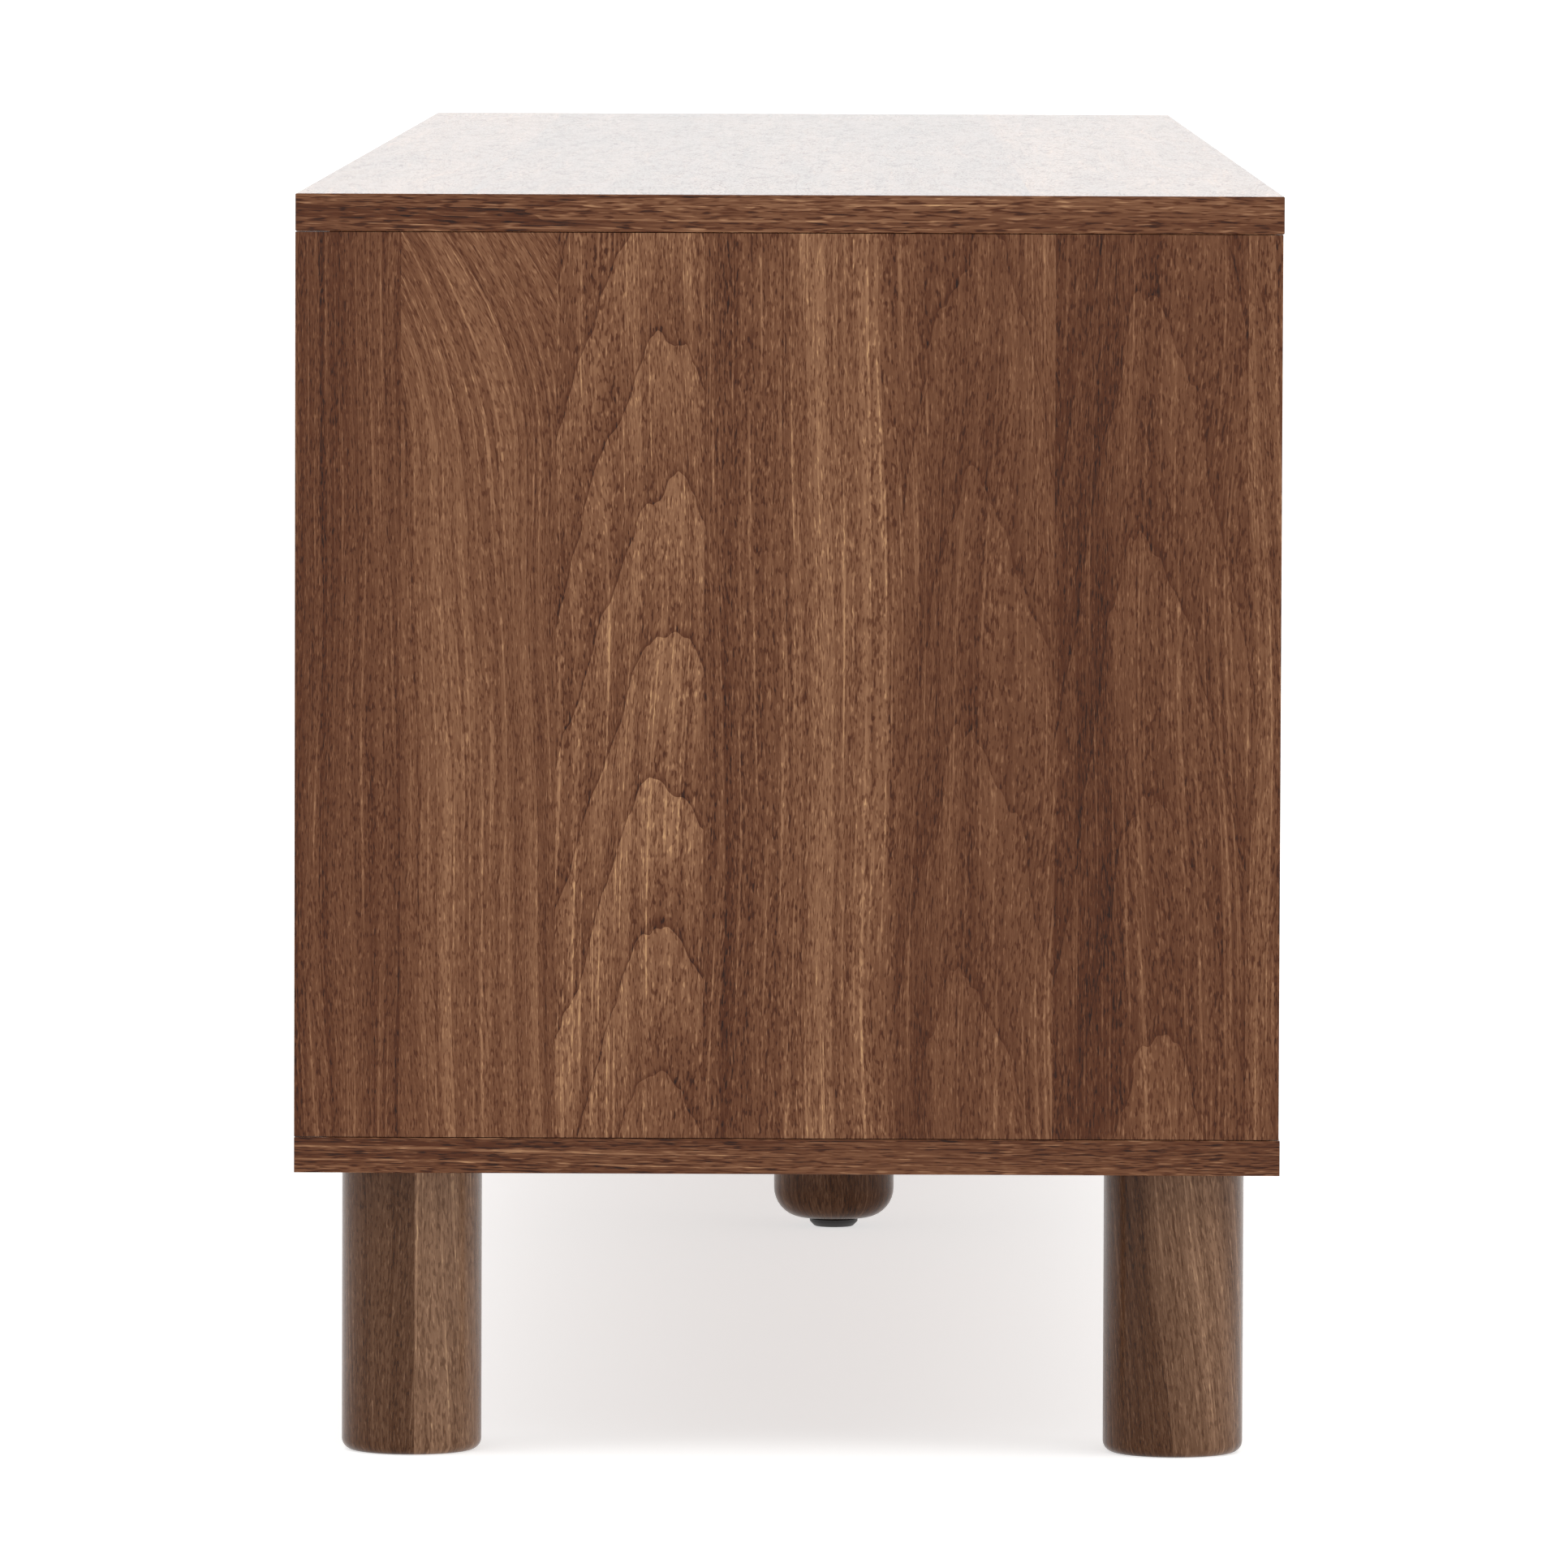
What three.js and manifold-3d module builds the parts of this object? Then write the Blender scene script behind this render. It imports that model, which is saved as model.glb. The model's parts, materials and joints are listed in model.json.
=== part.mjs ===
// A long, low media cabinet: a veneered case on five round legs, with a door at each end,
// an open niche over a wide drawer in the middle, and a levelling foot under the centre leg.
// Millimetres, +Z up. X runs along the length, the front faces -Y, and the origin is on the
// floor under the middle of the case.
import * as THREE from "three";
import { mergeVertices } from "three/addons/utils/BufferGeometryUtils.js";
import Module from "manifold-3d";

const wasm = await Module();
wasm.setup();

// ---------------------------------------------------------------- driving dimensions

// Case
const LENGTH = 2200;
const DEPTH = 420;
const HEIGHT = 540; // floor to the top surface
const LEG_LENGTH = 123; // floor to the underside of the bottom panel
const TOP_BOARD = 16;
const BOTTOM_BOARD = 15;
const END_BOARD = 15;
const PARTITION_BOARD = 15;
const END_REVEAL = 0.5; // the end panels stand in this far from the ends of the top
const FRONT_REVEAL = 0.5; // and this far from its front edge
const SEAM = 0.3; // dry joint between two boards that butt together

// Bays
const NICHE_WIDTH = 900; // clear width between the partitions
const DRAWER_BAY_HEIGHT = 184; // clear height under the niche shelf
const NICHE_SHELF_BOARD = 15;
const NICHE_SHELF_SETBACK = 2; // from the front edge of the case

// Back panels, which stand in grooves
const BACK_BOARD = 5;
const BACK_INSET = 14; // from the rear edge of the case to the back panels
const GROOVE_DEPTH = 4;
const GROOVE_SLACK = 0.3;
const CABLE_HOLE_RADIUS = 30;

// Cable grommet
const GROMMET_WALL = 3;
const GROMMET_FLANGE = 5; // how far the flange spreads past the hole
const GROMMET_FLANGE_THICKNESS = 2;
const GROMMET_CLEARANCE = 0.3;

// Adjustable shelves
const SHELF_BOARD = 15;
const SHELF_SETBACK = 45; // from the front edge of the case
const SHELF_SIDE_GAP = 1.5;
const SHELF_REAR_GAP = 3;
const SHELF_HEIGHT = 180; // floor of the bay to the underside of the shelf
const PIN_HOLE_PITCH = 32;
const PIN_HOLES_EACH_WAY = 1; // spare holes above and below the one in use
const PIN_FROM_SHELF_EDGE = 40;
const PIN_RADIUS = 2.5;
const PIN_COLLAR_RADIUS = 3.6;
const PIN_COLLAR = 1.2; // thickness of the collar
const PIN_LENGTH_IN_BOARD = 8;
const PIN_LENGTH_UNDER_SHELF = 9;
const PIN_CLEARANCE = 0.25;

// Legs
const LEG_RADIUS = 30;
const LEG_FROM_FRONT = 44; // leg axis to the front edge of the case
const LEG_FROM_REAR = 49;
const LEG_FROM_END = 47;
const LEG_BOTTOM_ROUND = 5;
const CENTRE_LEG_FORWARD = 20; // the centre leg stands this far in front of the middle
const CENTRE_LEG_BOTTOM_ROUND = 15;
const LEG_BOLT_RADIUS = 4;
const LEG_BOLT_IN_LEG = 40;
const LEG_BOLT_IN_PANEL = 11;
const BOLT_CLEARANCE = 0.35;

// Levelling foot
const FOOT_PAD_RADIUS = 12;
const FOOT_PAD_THICKNESS = 4.2;
const FOOT_PAD_TAPER = 2; // the pad narrows by this much towards the floor
const FOOT_STUD_RADIUS = 4;
const FOOT_STUD_IN_LEG = 30;
const FOOT_STUD_SPARE = 4; // bore left over above the stud
const FOOT_SOCKET_DEPTH = 2.4;

// Doors
const DOOR_BOARD = 16;
const DOOR_GAP = 2.5;
const FRONT_RECESS = 2; // doors and drawer front stand back from the front edge
const PIVOT_FROM_EDGE = 20; // door edge to the pivot axis
const PIVOT_RADIUS = 4;
const PIVOT_IN_DOOR = 18;
const PIVOT_IN_BUSH = 7;
const PIVOT_CLEARANCE = 0.3;
const BUSH_WALL = 2.2;
const BUSH_HEIGHT = 9;
const BUSH_FLANGE = 2; // how far the flange spreads past the wall
const BUSH_FLANGE_THICKNESS = 1;
const BUSH_CLEARANCE = 0.3;

// Push latches
const LATCH_FROM_PARTITION = 35;
const LATCH_WIDTH = 16;
const LATCH_HEIGHT = 22;
const LATCH_LENGTH = 60;
const LATCH_BEHIND_DOOR = 8;
const PLUNGER_RADIUS = 4;
const PLUNGER_LENGTH = 46;
const PLUNGER_CLEARANCE = 0.35;
const PLUNGER_TRAVEL = 3; // how far a push on the door presses the plunger in
const PLUNGER_TO_STRIKE = 0.5;
const STRIKE_SIZE = 14;
const STRIKE_THICKNESS = 1.5;

// Drawer
const DRAWER_FRONT_BOARD = 16;
const DRAWER_SIDE_BOARD = 12;
const DRAWER_BOTTOM_BOARD = 5;
const DRAWER_REAR_GAP = 30; // drawer box to the back panel, for cables
const DRAWER_TOP_GAP = 32; // drawer sides to the niche shelf
const DRAWER_BOX_LIFT = 22; // bottom panel to the drawer sides
const DRAWER_BOTTOM_LIFT = 10; // lower edge of the sides to the drawer bottom
const DRAWER_GROOVE_DEPTH = 6;
const SCOOP_WIDTH = 170; // finger scoop in the top edge of the drawer front
const SCOOP_DEPTH = 22;
const SCOOP_CORNER = 16;

// Drawer runners
const RUNNER_SPACE = 13; // partition to drawer side
const RUNNER_HEIGHT = 45;
const RUNNER_SHEET = 1.2;
const RUNNER_PLAY = 1; // sideways, between one member and the next
const RUNNER_NEST = 4.5; // each member is this much smaller than the last, above and below
const RUNNER_SHORT_OF_BOX = 12; // the members end this far before the drawer box does
const RUNNER_ABOVE_SIDE_BASE = 65; // runner's centre line to the lower edge of the sides

// Facets
const LEG_SIDES = 40;
const ROUND_STEPS = 5; // facets in a quarter of a leg's rounded foot
const ROD_SIDES = 20;
const PIN_SIDES = 12;
const HOLE_SIDES = 32;
const CORNER_STEPS = 6; // facets in a corner of the finger scoop

// ---------------------------------------------------------------- places worked out from them

const FRONT = -DEPTH / 2;
const REAR = DEPTH / 2;
const CASE_BASE = LEG_LENGTH; // underside of the bottom panel
const BAY_FLOOR = CASE_BASE + BOTTOM_BOARD;
const BAY_CEILING = HEIGHT - TOP_BOARD;
const END_OUTSIDE = LENGTH / 2 - END_REVEAL;
const END_INSIDE = END_OUTSIDE - END_BOARD;
const PARTITION_INSIDE = NICHE_WIDTH / 2;
const PARTITION_OUTSIDE = PARTITION_INSIDE + PARTITION_BOARD;
const NICHE_SHELF_BASE = BAY_FLOOR + DRAWER_BAY_HEIGHT;
const NICHE_FLOOR = NICHE_SHELF_BASE + NICHE_SHELF_BOARD;
const BACK_REAR = REAR - BACK_INSET;
const BACK_FRONT = BACK_REAR - BACK_BOARD;
const DOOR_FRONT = FRONT + FRONT_RECESS;
const DOOR_BACK = DOOR_FRONT + DOOR_BOARD;

// ---------------------------------------------------------------- finishes

const walnutVeneer = new THREE.MeshStandardMaterial({ color: 0x6f4b38, roughness: 0.45 });
const walnutFoil = new THREE.MeshStandardMaterial({ color: 0x5f4233, roughness: 0.6 });
const drawerBoard = new THREE.MeshStandardMaterial({ color: 0x7a5b45, roughness: 0.6 });
const steel = new THREE.MeshStandardMaterial({ color: 0xb4b6b8, roughness: 0.35, metalness: 1 });
const blackPlastic = new THREE.MeshStandardMaterial({ color: 0x1a1716, roughness: 0.5 });
const whiteNylon = new THREE.MeshStandardMaterial({ color: 0xd9d6cf, roughness: 0.5 });

// ---------------------------------------------------------------- shape helpers

// A box between two planes in each direction.
function box([x0, x1], [y0, y1], [z0, z1]) {
  const made = new THREE.BoxGeometry(x1 - x0, y1 - y0, z1 - z0);
  return made.translate((x0 + x1) / 2, (y0 + y1) / 2, (z0 + z1) / 2);
}

// A round rod between two points, with its corners on the given radius.
function rod(radius, start, end, sides = ROD_SIDES) {
  const from = new THREE.Vector3(...start);
  const along = new THREE.Vector3(...end).sub(from);
  const turn = new THREE.Quaternion().setFromUnitVectors(
    new THREE.Vector3(0, 1, 0),
    along.clone().normalize(),
  );
  const middle = from.addScaledVector(along, 0.5);
  return new THREE.CylinderGeometry(radius, radius, along.length(), sides)
    .applyQuaternion(turn)
    .translate(middle.x, middle.y, middle.z);
}

// A turned shape about the vertical axis, from [radius, height] points that go round anticlockwise.
function turned(points, sides) {
  const profile = points.map(([radius, height]) => new THREE.Vector2(radius, height));
  return new THREE.LatheGeometry(profile, sides).rotateX(Math.PI / 2);
}

function solidFrom(geometry) {
  const bare = geometry.clone();
  bare.deleteAttribute("normal");
  bare.deleteAttribute("uv");
  const merged = mergeVertices(bare, 1e-4);
  return new wasm.Manifold(
    new wasm.Mesh({
      numProp: 3,
      vertProperties: merged.attributes.position.array,
      triVerts: new Uint32Array(merged.index.array),
    }),
  );
}

function geometryFrom(solid) {
  const { vertProperties, triVerts } = solid.getMesh();
  const made = new THREE.BufferGeometry();
  made.setAttribute("position", new THREE.BufferAttribute(vertProperties, 3));
  made.setIndex(new THREE.BufferAttribute(triVerts, 1));
  return made.toNonIndexed();
}

// The body with every tool cut out of it.
function cut(body, ...tools) {
  const rest = tools.reduce((left, tool) => left.subtract(solidFrom(tool)), solidFrom(body));
  return geometryFrom(rest);
}

// One named piece: its geometry is centred on its own middle and the mesh is put in its place.
function piece(group, name, material, geometry) {
  geometry.computeBoundingBox();
  const middle = geometry.boundingBox.getCenter(new THREE.Vector3());
  geometry.translate(-middle.x, -middle.y, -middle.z);
  geometry.computeVertexNormals();
  const mesh = new THREE.Mesh(geometry, material);
  mesh.name = name;
  mesh.position.copy(middle);
  group.worldToLocal(mesh.position);
  group.add(mesh);
}

// A group whose origin stands at the given place in the part's frame.
function groupAt(x, y, z) {
  const group = new THREE.Group();
  group.position.set(x, y, z);
  group.updateMatrixWorld();
  return group;
}

// A range along X on one side of the cabinet: side -1 is the left, side 1 the right.
function across(side, inner, outer) {
  return side < 0 ? [-outer, -inner] : [inner, outer];
}

const SIDES = [
  ["left", -1],
  ["right", 1],
];

// ---------------------------------------------------------------- holes that pieces share

const BUSH_OUTSIDE = PIVOT_RADIUS + PIVOT_CLEARANCE + BUSH_WALL;
const PIVOT_X = END_INSIDE - DOOR_GAP - PIVOT_FROM_EDGE;
const PIVOT_Y = DOOR_FRONT + DOOR_BOARD / 2;

const LEG_PLACES = [
  ["front_left", -LENGTH / 2 + LEG_FROM_END, FRONT + LEG_FROM_FRONT],
  ["front_right", LENGTH / 2 - LEG_FROM_END, FRONT + LEG_FROM_FRONT],
  ["rear_left", -LENGTH / 2 + LEG_FROM_END, REAR - LEG_FROM_REAR],
  ["rear_right", LENGTH / 2 - LEG_FROM_END, REAR - LEG_FROM_REAR],
  ["centre", 0, -CENTRE_LEG_FORWARD],
];

function legBoltHole(x, y) {
  const radius = LEG_BOLT_RADIUS + BOLT_CLEARANCE;
  const foot = CASE_BASE - LEG_BOLT_IN_LEG - BOLT_CLEARANCE;
  const head = CASE_BASE + LEG_BOLT_IN_PANEL + BOLT_CLEARANCE;
  return rod(radius, [x, y, foot], [x, y, head]);
}

// The pocket for a pivot bush, going up into the top panel or down into the bottom one.
function bushPocket(side, surface, way) {
  const x = side * PIVOT_X;
  const radius = BUSH_OUTSIDE + BUSH_CLEARANCE;
  const depth = BUSH_HEIGHT + BUSH_CLEARANCE;
  return rod(radius, [x, PIVOT_Y, surface - way], [x, PIVOT_Y, surface + way * depth]);
}

const backGroove = [BACK_FRONT - GROOVE_SLACK, BACK_REAR + GROOVE_SLACK];
const SHELF_FRONT = FRONT + SHELF_SETBACK;
const SHELF_REAR = BACK_FRONT - SHELF_REAR_GAP;
const PIN_ROWS = [SHELF_FRONT + PIN_FROM_SHELF_EDGE, SHELF_REAR - PIN_FROM_SHELF_EDGE];
const PIN_HEIGHT = BAY_FLOOR + SHELF_HEIGHT - PIN_RADIUS - SEAM;

// Rows of pin holes in a face at x, going the given way into the board.
function pinHoles(x, way) {
  const holes = [];
  const radius = PIN_RADIUS + PIN_CLEARANCE;
  const depth = PIN_LENGTH_IN_BOARD + PIN_CLEARANCE;
  for (const y of PIN_ROWS) {
    for (let step = -PIN_HOLES_EACH_WAY; step <= PIN_HOLES_EACH_WAY; step++) {
      const z = PIN_HEIGHT + step * PIN_HOLE_PITCH;
      holes.push(rod(radius, [x - way, y, z], [x + way * depth, y, z], PIN_SIDES));
    }
  }
  return holes;
}

// ---------------------------------------------------------------- case

const cabinet = new THREE.Group();

const wholeLength = [-LENGTH / 2, LENGTH / 2];
const wholeDepth = [FRONT, REAR];
const bayHeight = [BAY_FLOOR + SEAM, BAY_CEILING - SEAM];
const grooveEnd = END_INSIDE + GROOVE_DEPTH;
const grooveAcross = [-grooveEnd, grooveEnd];

piece(
  cabinet,
  "top_panel",
  walnutVeneer,
  cut(
    box(wholeLength, wholeDepth, [BAY_CEILING, HEIGHT]),
    box(grooveAcross, backGroove, [BAY_CEILING - 1, BAY_CEILING + GROOVE_DEPTH]),
    ...SIDES.map(([, side]) => bushPocket(side, BAY_CEILING, 1)),
  ),
);

piece(
  cabinet,
  "bottom_panel",
  walnutVeneer,
  cut(
    box(wholeLength, wholeDepth, [CASE_BASE, BAY_FLOOR]),
    box(grooveAcross, backGroove, [BAY_FLOOR - GROOVE_DEPTH, BAY_FLOOR + 1]),
    ...SIDES.map(([, side]) => bushPocket(side, BAY_FLOOR, -1)),
    ...LEG_PLACES.map(([, x, y]) => legBoltHole(x, y)),
  ),
);

for (const [name, side] of SIDES) {
  piece(
    cabinet,
    `${name}_end_panel`,
    walnutVeneer,
    cut(
      box(across(side, END_INSIDE, END_OUTSIDE), [FRONT + FRONT_REVEAL, REAR], bayHeight),
      box(across(side, END_INSIDE - 1, grooveEnd), backGroove, [BAY_FLOOR, BAY_CEILING]),
      ...pinHoles(side * END_INSIDE, side),
    ),
  );
  piece(
    cabinet,
    `${name}_partition`,
    walnutVeneer,
    cut(
      box(across(side, PARTITION_INSIDE, PARTITION_OUTSIDE), wholeDepth, bayHeight),
      box(
        across(side, PARTITION_INSIDE - 1, PARTITION_INSIDE + GROOVE_DEPTH),
        backGroove,
        [BAY_FLOOR, BAY_CEILING],
      ),
      box(
        across(side, PARTITION_OUTSIDE - GROOVE_DEPTH, PARTITION_OUTSIDE + 1),
        backGroove,
        [BAY_FLOOR, BAY_CEILING],
      ),
      ...pinHoles(side * PARTITION_OUTSIDE, -side),
    ),
  );
}

piece(
  cabinet,
  "niche_shelf",
  walnutVeneer,
  box(
    [-PARTITION_INSIDE + SEAM, PARTITION_INSIDE - SEAM],
    [FRONT + NICHE_SHELF_SETBACK, BACK_FRONT - SEAM],
    [NICHE_SHELF_BASE, NICHE_FLOOR],
  ),
);

// ---------------------------------------------------------------- back panels and cable grommet

const backTongue = GROOVE_DEPTH - GROOVE_SLACK; // how far a back panel enters its grooves
const backHeight = [BAY_FLOOR - backTongue, BAY_CEILING + backTongue];
const cableHoleZ = (NICHE_FLOOR + BAY_CEILING) / 2;

for (const [name, side] of SIDES) {
  const span = across(side, PARTITION_OUTSIDE - backTongue, END_INSIDE + backTongue);
  piece(cabinet, `${name}_back_panel`, walnutFoil, box(span, [BACK_FRONT, BACK_REAR], backHeight));
}

piece(
  cabinet,
  "centre_back_panel",
  walnutFoil,
  cut(
    box(
      [-PARTITION_INSIDE - backTongue, PARTITION_INSIDE + backTongue],
      [BACK_FRONT, BACK_REAR],
      backHeight,
    ),
    rod(
      CABLE_HOLE_RADIUS,
      [0, BACK_FRONT - 1, cableHoleZ],
      [0, BACK_REAR + 1, cableHoleZ],
      HOLE_SIDES,
    ),
  ),
);

// A ring with a flange on the niche side and a barrel through the back panel.
function grommet() {
  const outside = CABLE_HOLE_RADIUS - 2 * GROMMET_CLEARANCE;
  const inside = outside - GROMMET_WALL;
  const flange = CABLE_HOLE_RADIUS + GROMMET_FLANGE;
  const face = GROMMET_CLEARANCE + GROMMET_FLANGE_THICKNESS;
  return turned(
    [
      [inside, -BACK_BOARD],
      [outside, -BACK_BOARD],
      [outside, GROMMET_CLEARANCE],
      [flange, GROMMET_CLEARANCE],
      [flange, face],
      [inside, face],
      [inside, -BACK_BOARD],
    ],
    HOLE_SIDES,
  ).rotateX(Math.PI / 2);
}

piece(cabinet, "cable_grommet", blackPlastic, grommet().translate(0, BACK_FRONT, cableHoleZ));

// ---------------------------------------------------------------- adjustable shelves

// A shelf pin that points along +X: the collar stands against the board at x = 0.
function shelfPin() {
  const shank = rod(PIN_RADIUS, [-PIN_LENGTH_IN_BOARD, 0, 0], [PIN_LENGTH_UNDER_SHELF, 0, 0], PIN_SIDES);
  const collar = rod(PIN_COLLAR_RADIUS, [SEAM, 0, 0], [SEAM + PIN_COLLAR, 0, 0], PIN_SIDES);
  return geometryFrom(solidFrom(shank).add(solidFrom(collar)));
}

const SHELF_INNER = PARTITION_OUTSIDE + SHELF_SIDE_GAP;
const SHELF_OUTER = END_INSIDE - SHELF_SIDE_GAP;

for (const [name, side] of SIDES) {
  const base = BAY_FLOOR + SHELF_HEIGHT;
  const clearance = PIN_COLLAR_RADIUS - PIN_RADIUS;
  // The shelf's ends are rebated over the pins' collars.
  const rebate = (from, to) =>
    box(across(side, from, to), [SHELF_FRONT - 1, SHELF_REAR + 1], [base - 1, base + clearance]);
  piece(
    cabinet,
    `${name}_shelf`,
    walnutVeneer,
    cut(
      box(across(side, SHELF_INNER, SHELF_OUTER), [SHELF_FRONT, SHELF_REAR], [base, base + SHELF_BOARD]),
      rebate(SHELF_INNER - 1, PARTITION_OUTSIDE + SEAM + PIN_COLLAR + PIN_CLEARANCE),
      rebate(END_INSIDE - SEAM - PIN_COLLAR - PIN_CLEARANCE, SHELF_OUTER + 1),
    ),
  );
  PIN_ROWS.forEach((y, row) => {
    const place = row === 0 ? "front" : "rear";
    const outer = shelfPin();
    if (side > 0) outer.rotateZ(Math.PI);
    outer.translate(side * END_INSIDE, y, PIN_HEIGHT);
    piece(cabinet, `${name}_shelf_pin_outer_${place}`, steel, outer);
    const inner = shelfPin();
    if (side < 0) inner.rotateZ(Math.PI);
    inner.translate(side * PARTITION_OUTSIDE, y, PIN_HEIGHT);
    piece(cabinet, `${name}_shelf_pin_inner_${place}`, steel, inner);
  });
}

// ---------------------------------------------------------------- legs and levelling foot

// A round leg standing on z = base, with its lower edge rounded.
function leg(base, round) {
  const points = [[0, base]];
  for (let step = 0; step <= ROUND_STEPS; step++) {
    const angle = (step / ROUND_STEPS) * (Math.PI / 2);
    const radius = LEG_RADIUS - round + round * Math.sin(angle);
    points.push([radius, base + round - round * Math.cos(angle)]);
  }
  points.push([LEG_RADIUS, CASE_BASE - SEAM], [0, CASE_BASE - SEAM]);
  return turned(points, LEG_SIDES);
}

const footTop = FOOT_PAD_THICKNESS;
const centreLegBase = footTop + SEAM;
const studBase = footTop - FOOT_SOCKET_DEPTH + SEAM;
const studTop = centreLegBase + FOOT_STUD_IN_LEG;

for (const [name, x, y] of LEG_PLACES) {
  const isCentre = name === "centre";
  const base = isCentre ? centreLegBase : 0;
  const round = isCentre ? CENTRE_LEG_BOTTOM_ROUND : LEG_BOTTOM_ROUND;
  const holes = [legBoltHole(x, y)];
  if (isCentre) {
    const radius = FOOT_STUD_RADIUS + BOLT_CLEARANCE;
    holes.push(rod(radius, [x, y, base - 1], [x, y, studTop + FOOT_STUD_SPARE]));
  }
  piece(cabinet, `${name}_leg`, walnutVeneer, cut(leg(base, round).translate(x, y, 0), ...holes));
  piece(
    cabinet,
    `${name}_leg_bolt`,
    steel,
    rod(LEG_BOLT_RADIUS, [x, y, CASE_BASE - LEG_BOLT_IN_LEG], [x, y, CASE_BASE + LEG_BOLT_IN_PANEL]),
  );
}

const [, centreX, centreY] = LEG_PLACES.at(-1);
const foot = groupAt(centreX, centreY, 0);
cabinet.add(foot);

piece(
  foot,
  "levelling_foot_pad",
  blackPlastic,
  cut(
    turned(
      [
        [0, 0],
        [FOOT_PAD_RADIUS - FOOT_PAD_TAPER, 0],
        [FOOT_PAD_RADIUS, FOOT_PAD_TAPER],
        [FOOT_PAD_RADIUS, footTop],
        [0, footTop],
      ],
      HOLE_SIDES,
    ).translate(centreX, centreY, 0),
    rod(
      FOOT_STUD_RADIUS + BOLT_CLEARANCE,
      [centreX, centreY, footTop - FOOT_SOCKET_DEPTH],
      [centreX, centreY, footTop + 1],
    ),
  ),
);
piece(
  foot,
  "levelling_foot_stud",
  steel,
  rod(FOOT_STUD_RADIUS, [centreX, centreY, studBase], [centreX, centreY, studTop]),
);

// ---------------------------------------------------------------- doors, pivots and latches

const DOOR_INNER = PARTITION_OUTSIDE + DOOR_GAP;
const DOOR_OUTER = END_INSIDE - DOOR_GAP;
const DOOR_BASE = BAY_FLOOR + DOOR_GAP;
const DOOR_TOP = BAY_CEILING - DOOR_GAP;

// A flanged bush standing on z = 0 with its flange at the foot.
function bush() {
  const inside = PIVOT_RADIUS + PIVOT_CLEARANCE;
  const flange = BUSH_OUTSIDE + BUSH_FLANGE;
  return turned(
    [
      [inside, -BUSH_FLANGE_THICKNESS],
      [flange, -BUSH_FLANGE_THICKNESS],
      [flange, 0],
      [BUSH_OUTSIDE, 0],
      [BUSH_OUTSIDE, BUSH_HEIGHT],
      [inside, BUSH_HEIGHT],
      [inside, -BUSH_FLANGE_THICKNESS],
    ],
    ROD_SIDES,
  );
}

for (const [name, side] of SIDES) {
  const x = side * PIVOT_X;
  const door = groupAt(x, PIVOT_Y, 0);
  cabinet.add(door);

  const holeRadius = PIVOT_RADIUS + PIVOT_CLEARANCE;
  const holeDepth = PIVOT_IN_DOOR + PIVOT_CLEARANCE;
  piece(
    door,
    `${name}_door`,
    walnutVeneer,
    cut(
      box(across(side, DOOR_INNER, DOOR_OUTER), [DOOR_FRONT, DOOR_BACK], [DOOR_BASE, DOOR_TOP]),
      rod(holeRadius, [x, PIVOT_Y, DOOR_TOP - holeDepth], [x, PIVOT_Y, DOOR_TOP + 1]),
      rod(holeRadius, [x, PIVOT_Y, DOOR_BASE - 1], [x, PIVOT_Y, DOOR_BASE + holeDepth]),
    ),
  );
  piece(
    door,
    `${name}_door_top_pivot`,
    steel,
    rod(PIVOT_RADIUS, [x, PIVOT_Y, DOOR_TOP - PIVOT_IN_DOOR], [x, PIVOT_Y, BAY_CEILING + PIVOT_IN_BUSH]),
  );
  piece(
    door,
    `${name}_door_bottom_pivot`,
    steel,
    rod(PIVOT_RADIUS, [x, PIVOT_Y, BAY_FLOOR - PIVOT_IN_BUSH], [x, PIVOT_Y, DOOR_BASE + PIVOT_IN_DOOR]),
  );
  piece(
    cabinet,
    `${name}_top_bush`,
    whiteNylon,
    bush().translate(x, PIVOT_Y, BAY_CEILING - BUSH_CLEARANCE),
  );
  piece(
    cabinet,
    `${name}_bottom_bush`,
    whiteNylon,
    bush().rotateX(Math.PI).translate(x, PIVOT_Y, BAY_FLOOR + BUSH_CLEARANCE),
  );

  // The push latch hangs from the top panel, and its plunger meets a strike plate on the door.
  const latchX = side * (PARTITION_OUTSIDE + LATCH_FROM_PARTITION);
  const latchTop = BAY_CEILING - SEAM;
  const latchFront = DOOR_BACK + LATCH_BEHIND_DOOR;
  const plungerZ = latchTop - LATCH_HEIGHT / 2;
  const strikeBack = DOOR_BACK + SEAM + STRIKE_THICKNESS;
  const plungerTip = strikeBack + PLUNGER_TO_STRIKE;
  const plungerEnd = plungerTip + PLUNGER_LENGTH;
  const boreEnd = plungerEnd + PLUNGER_TRAVEL + PLUNGER_CLEARANCE;
  piece(
    cabinet,
    `${name}_latch_housing`,
    blackPlastic,
    cut(
      box(
        [latchX - LATCH_WIDTH / 2, latchX + LATCH_WIDTH / 2],
        [latchFront, latchFront + LATCH_LENGTH],
        [latchTop - LATCH_HEIGHT, latchTop],
      ),
      rod(
        PLUNGER_RADIUS + PLUNGER_CLEARANCE,
        [latchX, latchFront - 1, plungerZ],
        [latchX, boreEnd, plungerZ],
      ),
    ),
  );
  piece(
    cabinet,
    `${name}_latch_plunger`,
    blackPlastic,
    rod(PLUNGER_RADIUS, [latchX, plungerTip, plungerZ], [latchX, plungerEnd, plungerZ]),
  );
  piece(
    door,
    `${name}_strike_plate`,
    steel,
    box(
      [latchX - STRIKE_SIZE / 2, latchX + STRIKE_SIZE / 2],
      [DOOR_BACK + SEAM, strikeBack],
      [plungerZ - STRIKE_SIZE / 2, plungerZ + STRIKE_SIZE / 2],
    ),
  );
}

// ---------------------------------------------------------------- drawer and runners

const drawer = groupAt(0, DOOR_FRONT, BAY_FLOOR);
const middleRunners = groupAt(0, DOOR_FRONT, BAY_FLOOR);
cabinet.add(drawer, middleRunners);

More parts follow.
